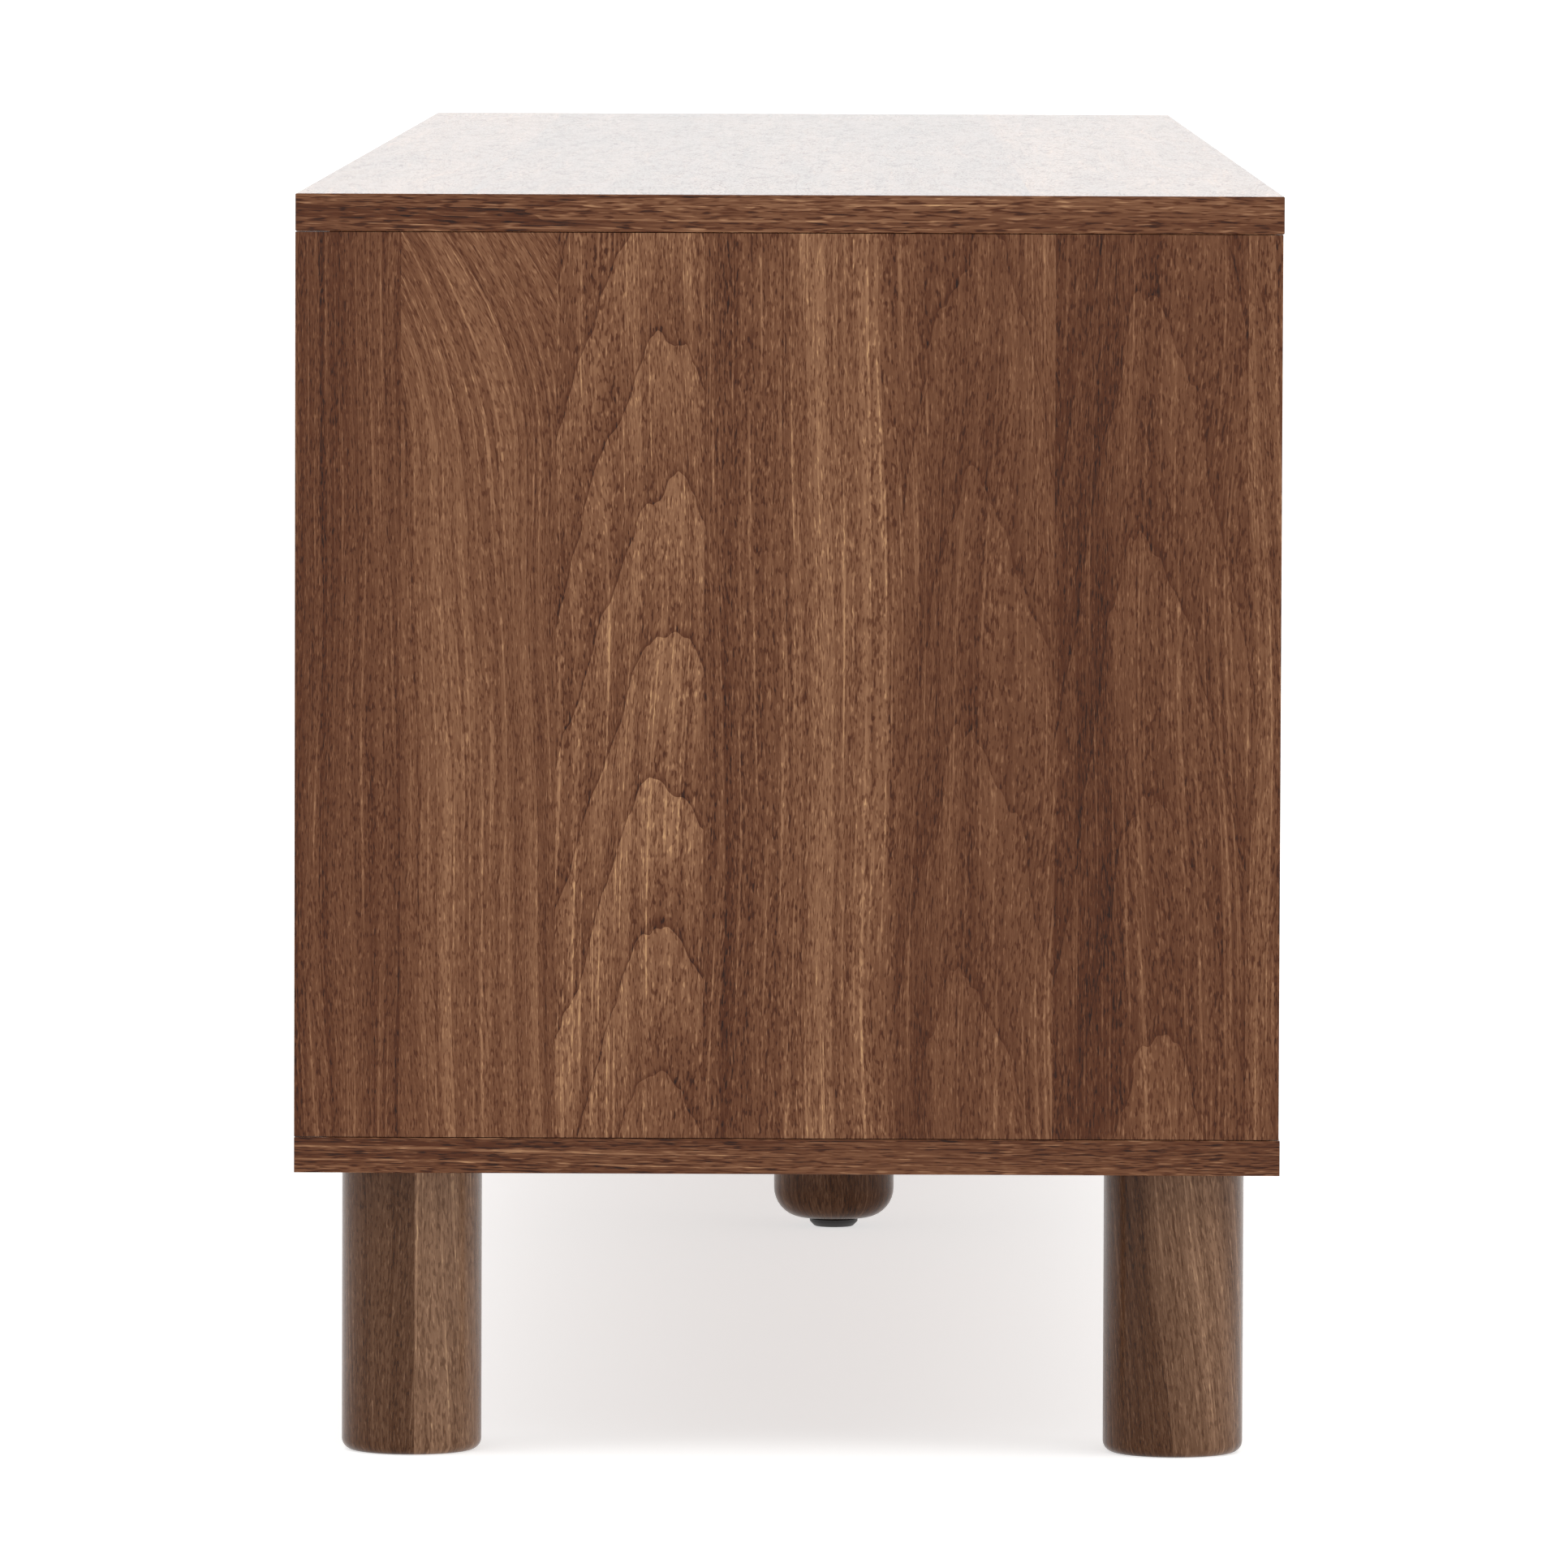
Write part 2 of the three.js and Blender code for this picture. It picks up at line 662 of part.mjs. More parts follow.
const frontBack = DOOR_FRONT + DRAWER_FRONT_BOARD; // the rear face of the drawer front
const boxStart = frontBack + SEAM;
const boxEnd = BACK_FRONT - DRAWER_REAR_GAP;
const boxBase = BAY_FLOOR + DRAWER_BOX_LIFT;
const boxTop = NICHE_SHELF_BASE - DRAWER_TOP_GAP;
const frontTop = NICHE_SHELF_BASE - DOOR_GAP;
const boxOutside = PARTITION_INSIDE - RUNNER_SPACE;
const boxInside = boxOutside - DRAWER_SIDE_BOARD;
const drawerFloor = boxBase + DRAWER_BOTTOM_LIFT;
const drawerGroove = [drawerFloor - GROOVE_SLACK, drawerFloor + DRAWER_BOTTOM_BOARD + GROOVE_SLACK];
const drawerTongue = DRAWER_GROOVE_DEPTH - GROOVE_SLACK;
const grooveReach = boxInside + DRAWER_GROOVE_DEPTH;

// The finger scoop: a slot with two rounded lower corners, cut down from the front's top edge.
function fingerScoop() {
  const half = SCOOP_WIDTH / 2;
  const cornerX = half - SCOOP_CORNER;
  const cornerZ = SCOOP_CORNER - SCOOP_DEPTH;
  const outline = new THREE.Shape();
  outline.moveTo(-half, 1);
  outline.lineTo(-half, cornerZ);
  outline.absarc(-cornerX, cornerZ, SCOOP_CORNER, Math.PI, 1.5 * Math.PI);
  outline.absarc(cornerX, cornerZ, SCOOP_CORNER, 1.5 * Math.PI, 2 * Math.PI);
  outline.lineTo(half, 1);
  const depth = DRAWER_FRONT_BOARD + 2; // 1 mm past each face
  const settings = { depth, bevelEnabled: false, curveSegments: CORNER_STEPS };
  const slot = new THREE.ExtrudeGeometry(outline, settings);
  return slot.rotateX(Math.PI / 2).translate(0, frontBack + 1, frontTop);
}

piece(
  drawer,
  "drawer_front",
  walnutVeneer,
  cut(
    box(
      [-PARTITION_INSIDE + DOOR_GAP, PARTITION_INSIDE - DOOR_GAP],
      [DOOR_FRONT, frontBack],
      [BAY_FLOOR + DOOR_GAP, frontTop],
    ),
    box([-grooveReach, grooveReach], [frontBack - DRAWER_GROOVE_DEPTH, frontBack + 1], drawerGroove),
    fingerScoop(),
  ),
);
for (const [name, side] of SIDES) {
  piece(
    drawer,
    `drawer_${name}_side`,
    drawerBoard,
    cut(
      box(
        across(side, boxInside, boxOutside),
        [boxStart, boxEnd],
        [boxBase, boxTop],
      ),
      box(across(side, boxInside - 1, grooveReach), [boxStart - 1, boxEnd + 1], drawerGroove),
    ),
  );
}
piece(
  drawer,
  "drawer_rear",
  drawerBoard,
  box(
    [-boxInside + SEAM, boxInside - SEAM],
    [boxEnd - DRAWER_SIDE_BOARD, boxEnd],
    [drawerGroove[1], boxTop],
  ),
);
piece(
  drawer,
  "drawer_bottom",
  drawerBoard,
  box(
    [-boxInside - drawerTongue, boxInside + drawerTongue],
    [frontBack - drawerTongue, boxEnd],
    [drawerFloor, drawerFloor + DRAWER_BOTTOM_BOARD],
  ),
);

// A folded steel channel along +Y: its web lies on x = 0 and its flanges reach towards +X.
function channel(height, flange, length) {
  const half = height / 2;
  const outline = new THREE.Shape([
    new THREE.Vector2(0, -half),
    new THREE.Vector2(flange, -half),
    new THREE.Vector2(flange, -half + RUNNER_SHEET),
    new THREE.Vector2(RUNNER_SHEET, -half + RUNNER_SHEET),
    new THREE.Vector2(RUNNER_SHEET, half - RUNNER_SHEET),
    new THREE.Vector2(flange, half - RUNNER_SHEET),
    new THREE.Vector2(flange, half),
    new THREE.Vector2(0, half),
  ]);
  const made = new THREE.ExtrudeGeometry(outline, { depth: length, bevelEnabled: false });
  return made.rotateX(Math.PI / 2).translate(0, length, 0);
}

const runnerZ = boxBase + RUNNER_ABOVE_SIDE_BASE;
const runnerLength = boxEnd - boxStart - RUNNER_SHORT_OF_BOX;
const runnerStep = RUNNER_SHEET + RUNNER_PLAY; // from one member's web to the next
const runnerFlange = RUNNER_SPACE - 2 * SEAM - 2 * runnerStep;

// A three-part runner: the case's member holds the middle one, which holds the drawer's.
for (const [name, side] of SIDES) {
  const caseWeb = PARTITION_INSIDE - SEAM;
  const members = [
    [cabinet, `${name}_case_runner`, RUNNER_HEIGHT, caseWeb, side],
    [middleRunners, `${name}_middle_runner`, RUNNER_HEIGHT - 2 * RUNNER_NEST, caseWeb - runnerStep, side],
    [drawer, `${name}_drawer_runner`, RUNNER_HEIGHT - 4 * RUNNER_NEST, boxOutside + SEAM, -side],
  ];
  for (const [group, node, height, web, back] of members) {
    const member = channel(height, runnerFlange, runnerLength);
    // The flanges point away from the side that the web's back is on.
    if (back > 0) member.rotateZ(Math.PI).translate(0, runnerLength, 0);
    piece(group, node, steel, member.translate(side * web, boxStart, runnerZ));
  }
}

export default cabinet;
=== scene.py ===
# %% [markdown]
# # A walnut media cabinet
# The cabinet is a long veneered case on round legs. Its boards, hardware and joints are already
# packed as a fixed frame of named nodes. This lesson gives each node its finished surface: eased
# edges, leaves of veneer, turned legs and zinc-plated hardware. Then it adds light to see them by.

# %% Load the frame
import json
import math
import random

import bmesh
import bpy
from mathutils import Matrix, Vector


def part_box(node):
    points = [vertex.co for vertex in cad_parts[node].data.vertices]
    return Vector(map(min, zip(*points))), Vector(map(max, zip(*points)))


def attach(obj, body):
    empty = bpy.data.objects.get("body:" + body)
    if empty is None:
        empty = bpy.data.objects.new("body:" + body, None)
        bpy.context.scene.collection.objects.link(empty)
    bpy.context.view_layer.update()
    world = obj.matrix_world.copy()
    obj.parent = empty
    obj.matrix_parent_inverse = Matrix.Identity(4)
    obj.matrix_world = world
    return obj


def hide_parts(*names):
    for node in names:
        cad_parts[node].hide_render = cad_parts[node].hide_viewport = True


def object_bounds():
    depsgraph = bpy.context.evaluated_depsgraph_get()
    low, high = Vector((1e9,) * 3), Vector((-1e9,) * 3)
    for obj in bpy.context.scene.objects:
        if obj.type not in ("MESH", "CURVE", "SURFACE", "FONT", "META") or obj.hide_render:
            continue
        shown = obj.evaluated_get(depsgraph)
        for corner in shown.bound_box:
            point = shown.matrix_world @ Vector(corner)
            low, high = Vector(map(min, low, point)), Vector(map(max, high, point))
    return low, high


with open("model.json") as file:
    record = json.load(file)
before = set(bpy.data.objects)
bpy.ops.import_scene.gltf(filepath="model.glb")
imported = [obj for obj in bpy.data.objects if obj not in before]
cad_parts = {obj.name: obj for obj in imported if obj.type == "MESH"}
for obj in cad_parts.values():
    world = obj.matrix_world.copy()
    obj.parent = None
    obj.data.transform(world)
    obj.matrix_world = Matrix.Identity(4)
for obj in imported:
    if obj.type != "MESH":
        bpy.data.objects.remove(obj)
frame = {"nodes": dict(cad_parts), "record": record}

MM = 0.001
cad_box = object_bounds()
print("packed model, metres:", [round(size, 4) for size in cad_box[1] - cad_box[0]])

# %% [markdown]
# ## The view
# Furniture is often shown square to one end with a very long lens, so that the sides hardly
# converge. A camera 6.2 m away with a 335 mm lens does that. It stands a little higher than the
# top, and it is tilted down and rolled by a fraction of a degree, as a hand-set tripod is.

# %% Place the camera
CAMERA_FROM_END = 6.2045
CAMERA_TO_FRONT = 0.0207
CAMERA_HEIGHT = 0.6717
CAMERA_TILT = math.radians(3.524)
CAMERA_TURN = math.radians(0.207)
CAMERA_ROLL = math.radians(0.2)
LENS_MM = 335.5
SENSOR_MM = 36


def looking_along_x(tilt, turn, roll):
    """Turns a camera to look along +X, tilted down, turned towards +Y, and rolled anticlockwise."""
    level = Matrix.Rotation(math.radians(-90), 4, "Z") @ Matrix.Rotation(math.radians(90), 4, "X")
    turned = Matrix.Rotation(turn, 4, "Z") @ level
    return turned @ Matrix.Rotation(-tilt, 4, "X") @ Matrix.Rotation(roll, 4, "Z")


camera_data = bpy.data.cameras.new("camera")
camera_data.lens = LENS_MM
camera_data.sensor_width = SENSOR_MM
camera = bpy.data.objects.new("camera", camera_data)
camera_spot = Vector((cad_box[0].x - CAMERA_FROM_END, -CAMERA_TO_FRONT, CAMERA_HEIGHT))
camera.matrix_world = Matrix.Translation(camera_spot) @ looking_along_x(
    CAMERA_TILT, CAMERA_TURN, CAMERA_ROLL
)
bpy.context.scene.collection.objects.link(camera)
bpy.context.scene.camera = camera
print("camera at", [round(value, 3) for value in camera_spot])

# %% [markdown]
# ## A helper for nodes
# Every finish and every repeated fitting below is a graph of nodes. One small function adds a
# node, sets its options and joins its inputs, so that each graph reads as a recipe. Colours are
# written as the sRGB codes of a paint chart, and one function turns them into linear light.

# %% Add a node, and read a colour
def add(tree, kind, inputs=None, **options):
    """Adds a node. inputs gives each socket, by name or number, a value, a socket or a node."""
    made = tree.nodes.new(kind)
    for option, value in options.items():
        setattr(made, option, value)
    for socket, value in (inputs or {}).items():
        if isinstance(value, bpy.types.Node):
            value = value.outputs[0]
        if isinstance(value, bpy.types.NodeSocket):
            tree.links.new(value, made.inputs[socket])
        else:
            made.inputs[socket].default_value = value
    return made


def colour(code):
    """Turns an sRGB hex code into the linear RGBA that shaders use."""
    channels = [int(code[place : place + 2], 16) / 255 for place in (1, 3, 5)]
    linear = [c / 12.92 if c <= 0.04045 else ((c + 0.055) / 1.055) ** 2.4 for c in channels]
    return (*linear, 1.0)


def new_material(name):
    """A material with an empty graph, and the graph."""
    material = bpy.data.materials.new(name)
    material.use_nodes = True
    material.node_tree.nodes.clear()
    return material, material.node_tree


print("mid grey #808080 in linear light:", round(colour("#808080")[0], 3))

# %% [markdown]
# ## Walnut veneer
# The boards are particle board faced with sliced black walnut under a satin lacquer. Sliced
# walnut shows three things at once: the growth rings, cut at a slant into nested arches; fibres
# and pores that run with the grain as short dashes; and slow changes of tone across each leaf.
#
# A picture of wood could be wrapped on, but it would repeat and would lie about scale. Here the
# rings come from geometry. A slice at some depth from the heart of a tapering trunk meets a ring
# whose radius is the root of across² + depth², plus the taper times the height. Close to the
# heart line the rings make arches, and far from it they run straight.
#
# Three attributes on each face's corners feed the graph. grain is the place along and across the
# leaf, in metres, and which lot of timber it is from. leaf is the tone, the contrast and the
# strength of the ring lines, with no unit. rings is the taper, then the depth from the heart and
# the width of a ring, in metres.

# %% The sizes in walnut, in millimetres along and across the grain, and how finely each divides
WALNUT_LAYERS = {
    "sway": (330, 55, 1.0),
    "ripple": (40, 13, 2.0),
    "band": (800, 30, 1.0),
    "streak": (420, 4.2, 2.0),
    "fibre": (8, 1.0, 2.0),  # real fibres are finer, and these are as fine as a whole panel shows
    "pore": (4.2, 0.8, 1.0),  # real pores are a third as wide, drawn coarser so that they show
    "crowd": (60, 6, 2.0),
    "fleck": (5, 0.85, 1.0),
    "gold": (150, 1.5, 1.0),
}
# How far each layer moves the tone, where 0.1 is a tenth of the way from darkest to palest
WALNUT_MOVES = {
    "band": 0.28,
    "streak": 0.5,
    "fibre": 0.44,
    "pore": -0.22,
    "fleck": 0.2,
    "gold": 0.2,
    "shade": -0.17,
    "line": -0.2,
    "ring": 0.12,
}
# The marks that are only the peaks of their noise rise from nothing to full between two values
WALNUT_PEAKS = {"pore": (0.68, 0.8), "fleck": (0.57, 0.7), "gold": (0.58, 0.7)}
NOISE_ROUGHNESS = 0.6
RING_SWAY = 26 * MM
RING_RIPPLE = 0.45  # in rings
RING_LINE = 0.07  # parts of a ring
RING_SHADE = 0.85
FAINTEST_RING = 0.4  # beside the strongest, at 1
PORE_CROWDING = 0.3
FIBRE_HEIGHT = 0.6  # beside the depth of a pore, at 1
PORE_ROUGHNESS = 0.04
GROOVE_STRENGTH = 0.05
GROOVE_DEPTH = 0.03 * MM
WALNUT_TONES = ("#200a02", "#48220a", "#674129", "#886145", "#b18860")


def layer_noise(tree, place, layers):
    """One noise for each layer, in cells of the layer's size."""
    noises = {}
    for number, (layer, (along, across, detail)) in enumerate(layers.items()):
        scale = (1 / (along * MM), 1 / (across * MM), 1)
        cells = add(
            tree,
            "ShaderNodeMapping",
            {"Vector": place, "Location": (0, 0, number), "Scale": scale},
        )
        noises[layer] = add(
            tree,
            "ShaderNodeTexNoise",
            {"Vector": cells, "Scale": 1.0, "Detail": detail, "Roughness": NOISE_ROUGHNESS},
        )
    return noises


def wood(name, tones, roughness, contrast=1.0, relief=1.0):
    """Wood under a clear satin finish. contrast scales every mark, and relief the open pores."""
    material, tree = new_material(name)
    grain = add(tree, "ShaderNodeAttribute", attribute_name="grain").outputs["Vector"]
    leaf = add(tree, "ShaderNodeAttribute", attribute_name="leaf").outputs["Vector"]
    rings = add(tree, "ShaderNodeAttribute", attribute_name="rings").outputs["Vector"]
    leaf = add(tree, "ShaderNodeSeparateXYZ", {0: leaf})
    rings = add(tree, "ShaderNodeSeparateXYZ", {0: rings})

    # The grain sways from side to side, and every later layer follows it
    layers = dict(WALNUT_LAYERS)
    sway = layer_noise(tree, grain, {"sway": layers.pop("sway")})["sway"]
    sway = add(tree, "ShaderNodeMath", {0: sway, 1: 0.5}, operation="SUBTRACT")
    sway = add(tree, "ShaderNodeMath", {0: sway, 1: RING_SWAY}, operation="MULTIPLY")
    sway = add(tree, "ShaderNodeCombineXYZ", {"Y": sway})
    swayed = add(tree, "ShaderNodeVectorMath", {0: grain, 1: sway}, operation="ADD")
    value = layer_noise(tree, swayed, layers)

    # Growth rings: a dark line where each ring ends, then wood that pales towards the next
    place = add(tree, "ShaderNodeSeparateXYZ", {0: swayed})
    from_heart = add(
        tree,
        "ShaderNodeCombineXYZ",
        {"X": place.outputs["Y"], "Y": rings.outputs["Y"]},
    )
    radius = add(tree, "ShaderNodeVectorMath", {0: from_heart}, operation="LENGTH").outputs["Value"]
    radius = add(
        tree,
        "ShaderNodeMath",
        {0: place.outputs["X"], 1: rings.outputs["X"], 2: radius},
        operation="MULTIPLY_ADD",
    )
    count = add(tree, "ShaderNodeMath", {0: radius, 1: rings.outputs["Z"]}, operation="DIVIDE")
    count = add(
        tree,
        "ShaderNodeMath",
        {0: value.pop("ripple"), 1: RING_RIPPLE, 2: count},
        operation="MULTIPLY_ADD",
    )
    phase = add(tree, "ShaderNodeMath", {0: count}, operation="FRACT")
    whole = add(tree, "ShaderNodeMath", {0: count}, operation="FLOOR")
    value["ring"] = add(tree, "ShaderNodeTexWhiteNoise", {"W": whole}, noise_dimensions="1D")
    strength = add(
        tree,
        "ShaderNodeMath",
        {0: value["ring"], 1: 1 - FAINTEST_RING, 2: FAINTEST_RING},
        operation="MULTIPLY_ADD",
    )
    strength = add(
        tree, "ShaderNodeMath", {0: strength, 1: leaf.outputs["Z"]}, operation="MULTIPLY"
    )
    for mark, width in (("line", RING_LINE), ("shade", RING_SHADE)):
        fall = add(
            tree,
            "ShaderNodeMapRange",
            {"Value": phase, 1: 0.0, 2: width, 3: 1.0, 4: 0.0},
            interpolation_type="SMOOTHSTEP",
        )
        value[mark] = add(tree, "ShaderNodeMath", {0: fall, 1: strength}, operation="MULTIPLY")

    # Pores crowd together in places
    value["pore"] = add(
        tree,
        "ShaderNodeMath",
        {0: value.pop("crowd"), 1: PORE_CROWDING, 2: value["pore"]},
        operation="MULTIPLY_ADD",
    )
    for mark, (low, high) in WALNUT_PEAKS.items():
        value[mark] = add(
            tree,
            "ShaderNodeMapRange",
            {"Value": value[mark], 1: low, 2: high},
            interpolation_type="SMOOTHSTEP",
        )

    # Add the marks up, about their middles, and colour the sum
    centred = ("band", "streak", "fibre", "ring")
    change = -contrast * 0.5 * sum(WALNUT_MOVES[layer] for layer in centred)
    for layer, amount in WALNUT_MOVES.items():
        change = add(
            tree,
            "ShaderNodeMath",
            {0: value[layer], 1: amount * contrast, 2: change},
            operation="MULTIPLY_ADD",
        )
    tone = add(
        tree,
        "ShaderNodeMath",
        {0: change, 1: leaf.outputs["Y"], 2: leaf.outputs["X"]},
        operation="MULTIPLY_ADD",
    )
    ramp = add(tree, "ShaderNodeValToRGB", {"Fac": tone})
    for number in range(1, len(tones) - 1):
        ramp.color_ramp.elements.new(number / (len(tones) - 1))
    for element, code in zip(ramp.color_ramp.elements, tones):
        element.color = colour(code)

    # The lacquer sinks into the pores, so they stay open as fine grooves
    height = add(
        tree, "ShaderNodeMath", {0: value["fibre"], 1: FIBRE_HEIGHT}, operation="MULTIPLY"
    )
    height = add(tree, "ShaderNodeMath", {0: height, 1: value["pore"]}, operation="SUBTRACT")
    bump = add(
        tree,
        "ShaderNodeBump",
        {"Strength": GROOVE_STRENGTH * relief, "Distance": GROOVE_DEPTH, "Height": height},
    )
    rough = add(
        tree,
        "ShaderNodeMath",
        {0: value["pore"], 1: PORE_ROUGHNESS, 2: roughness},
        operation="MULTIPLY_ADD",
    )
    shader = add(
        tree,
        "ShaderNodeBsdfPrincipled",
        {
            "Base Color": ramp.outputs["Color"],
            "Roughness": rough,
            "IOR": 1.25,  # a lacquer is 1.5, and the open grain scatters much of its mirror light
            "Normal": bump,
        },
    )
    add(tree, "ShaderNodeOutputMaterial", {"Surface": shader})
    return material


# Lacquered veneer gives the eye warm brown with lively figure, matt from in front, and a pale
# mirror when it is seen edge on
walnut_veneer = wood("walnut_veneer_satin_lacquer", WALNUT_TONES, roughness=0.2)
# Printed foil gives the eye the same brown with a flatter figure, no pores to feel and less shine
walnut_foil = wood(
    "walnut_foil_on_fibreboard", WALNUT_TONES, roughness=0.4, contrast=0.6, relief=0.3
)
print("nodes in the walnut graph:", len(walnut_veneer.node_tree.nodes))

# %% [markdown]
# ## Leaves of veneer
# A face wider than a leaf is laid up from several, side by side. Each leaf is described by its
# width, its tones from one side to the other, where its heart line is, and its figure. The end
# panels are laid up from leaves listed one by one. The other faces draw their leaves from a seeded
# shuffle.

# %% Describe leaves
class Leaf:
    """One leaf of veneer, in metres. heart is measured from the leaf's first side.

    shift moves the figure along the grain, and is drawn at random where it is None. bend is the
    height where the grain starts to swing aside, the height of its full swing, and that swing.
    """

    def __init__(self, width, tones, heart, rings=(0.01, 0.05, 0.005), figure=0.5, contrast=1.0):
        self.width = width
        self.tones = tones
        self.heart = heart
        self.rings = rings
        self.figure = figure
        self.contrast = contrast
        self.shift = None
        self.bend = None

    def swing_at(self, height):
        """How far the grain has swung aside at a height."""
        if self.bend is None or height <= self.bend[0]:
            return 0.0
        start, full, swing = self.bend
        return swing * ((height - start) / (full - start)) ** 2

    def tone_at(self, part):
        """The tone at a part of the width from 0 to 1, between evenly spaced tones."""
        steps = len(self.tones) - 1
        spot = min(max(part, 0.0), 1.0) * steps
        before = min(int(spot), steps - 1)
        return self.tones[before] + (self.tones[before + 1] - self.tones[before]) * (spot - before)


LEAF_WIDTHS = (0.07, 0.13)
NARROWEST_LEAF = 0.03
LEAF_TONES = (0.42, 0.56)
TONE_SPREAD = 0.06


def shuffled_leaves(width, seed):
    """Leaves that fill a width, some straight-grained and some arched."""
    draw = random.Random(seed)
    leaves = []
    left = width
    while left > 0:
        size = min(draw.uniform(*LEAF_WIDTHS), left)
        if left - size < NARROWEST_LEAF:
            size = left
        middle = draw.uniform(*LEAF_TONES)
        tones = [middle + draw.uniform(-TONE_SPREAD, TONE_SPREAD) for _ in range(4)]
        if draw.random() < 0.5:
            heart = size * draw.uniform(0.3, 0.7)
            rings = (draw.uniform(0.14, 0.24), draw.uniform(0.02, 0.04), 0.012)
            leaf = Leaf(size, tones, heart, rings, 0.8, 1.1)
        else:
            leaf = Leaf(size, tones, draw.choice((-1, 1)) * draw.uniform(0.15, 0.3))
        leaves.append(leaf)
        left -= size
    return leaves


END_LEAVES = [
    Leaf(0.045, (0.38, 0.42, 0.36), -0.16, figure=0.6, contrast=0.9),
    Leaf(0.066, (0.50, 0.58, 0.54, 0.46), -0.05, (0.01, 0.04, 0.011), 0.7, 0.9),
    Leaf(0.063, (0.50, 0.57, 0.58), 0.046, (0.26, 0.02, 0.0166), 1.0, 1.1),
    Leaf(0.082, (0.36, 0.40, 0.50, 0.61, 0.57, 0.50), -0.2, figure=0.5, contrast=1.05),
    Leaf(0.067, (0.45, 0.43, 0.45, 0.48), 0.034, (0.17, 0.02, 0.018), 0.8, 0.85),
    Leaf(0.082, (0.35, 0.40, 0.43, 0.45, 0.42), 0.043, (0.15, 0.02, 0.016), 0.9, 0.85),
    Leaf(0.015, (0.50, 0.47), -0.2),
]
END_LEAVES[1].bend = (0.425, 0.524, 0.032)
END_LEAVES[2].shift = 0.0655
EDGE_STRETCH = 0.45  # edge bands are cut straight with the grain, so their marks run longer
EDGE_BAND = Leaf(0.07, (0.42, 0.42), 0.035, (0.02, 0.03, 0.004), 0.6, 1.3)
print("leaves on an end panel add up to", round(sum(leaf.width for leaf in END_LEAVES), 4))

# %% [markdown]
# ## Boards
# A veneered board is a flat box whose edges are eased by half a millimetre, so light catches its
# arrises. Each packed board is copied, its triangles are joined back into flat faces, its sharp
# edges are bevelled, and its faces are divided where one leaf of veneer meets the next. Then every
# corner gets its place in the grain. The broad faces take the leaves, and the narrow ones take an
# edge band, whose grain runs along the edge.

# %% Copy, ease and place
WELD = 0.002 * MM
EASE = 0.5 * MM
BACK_EASE = 0.2 * MM
AXES = {"X": 0, "Y": 1, "Z": 2}
body_of = {
    node: body for body, nodes in frame["record"]["behaviour"]["bodies"].items() for node in nodes
}
slot_of = {part["node"]: part["material_slot"] for part in frame["record"]["subparts"]}
print("packed nodes to finish:", len(slot_of))


def solid_copy(node):
    """The node's mesh as a bmesh with whole flat faces."""
    made = bmesh.new()
    made.from_mesh(frame["nodes"][node].data)
    bmesh.ops.remove_doubles(made, verts=made.verts, dist=WELD)
    flat = math.radians(0.5)
    bmesh.ops.dissolve_limit(made, angle_limit=flat, verts=made.verts, edges=made.edges)
    return made


def ease_edges(solid, width, sharper_than=50):
    """Rounds every edge that turns by more than an angle."""
    limit = math.radians(sharper_than)
    sharp = [e for e in solid.edges if len(e.link_faces) == 2 and e.calc_face_angle(0) > limit]
    bmesh.ops.bevel(
        solid,
        geom=sharp,
        offset=width,
        segments=2,
        profile=0.5,
        affect="EDGES",
        clamp_overlap=True,
    )


def as_mesh(solid, name, smooth=30, place=None):
    """Turns a bmesh into a mesh, shaded smooth apart from edges sharper than the angle."""
    made = bpy.data.meshes.new(name)
    solid.to_mesh(made)
    solid.free()
    if place:
        made.transform(place)
    for polygon in made.polygons:
        polygon.use_smooth = True
    made.set_sharp_from_angle(angle=math.radians(smooth))
    return made


def add_piece(name, mesh_data, material, body, slot, *replaced):
    """Puts a finished mesh in the scene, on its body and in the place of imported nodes."""
    mesh_data.materials.clear()
    mesh_data.materials.append(material)
    made = bpy.data.objects.new(name, mesh_data)
    bpy.context.scene.collection.objects.link(made)
    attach(made, body)
    if replaced:
        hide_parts(*replaced)
    return made


# %% Write the grain on a board's corners
GRAIN_NAMES = ("grain", "leaf", "rings")
# Each board's seed starts a lot of timber, and these set its leaves, edges and far side apart
LEAF_LOT = 1 / 16
EDGE_LOT = 0.9
FAR_SIDE_LOT = 0.5


def grain_layers(solid):
    """The three attributes that the wood graph reads."""
    return [solid.loops.layers.float_vector.new(name) for name in GRAIN_NAMES]


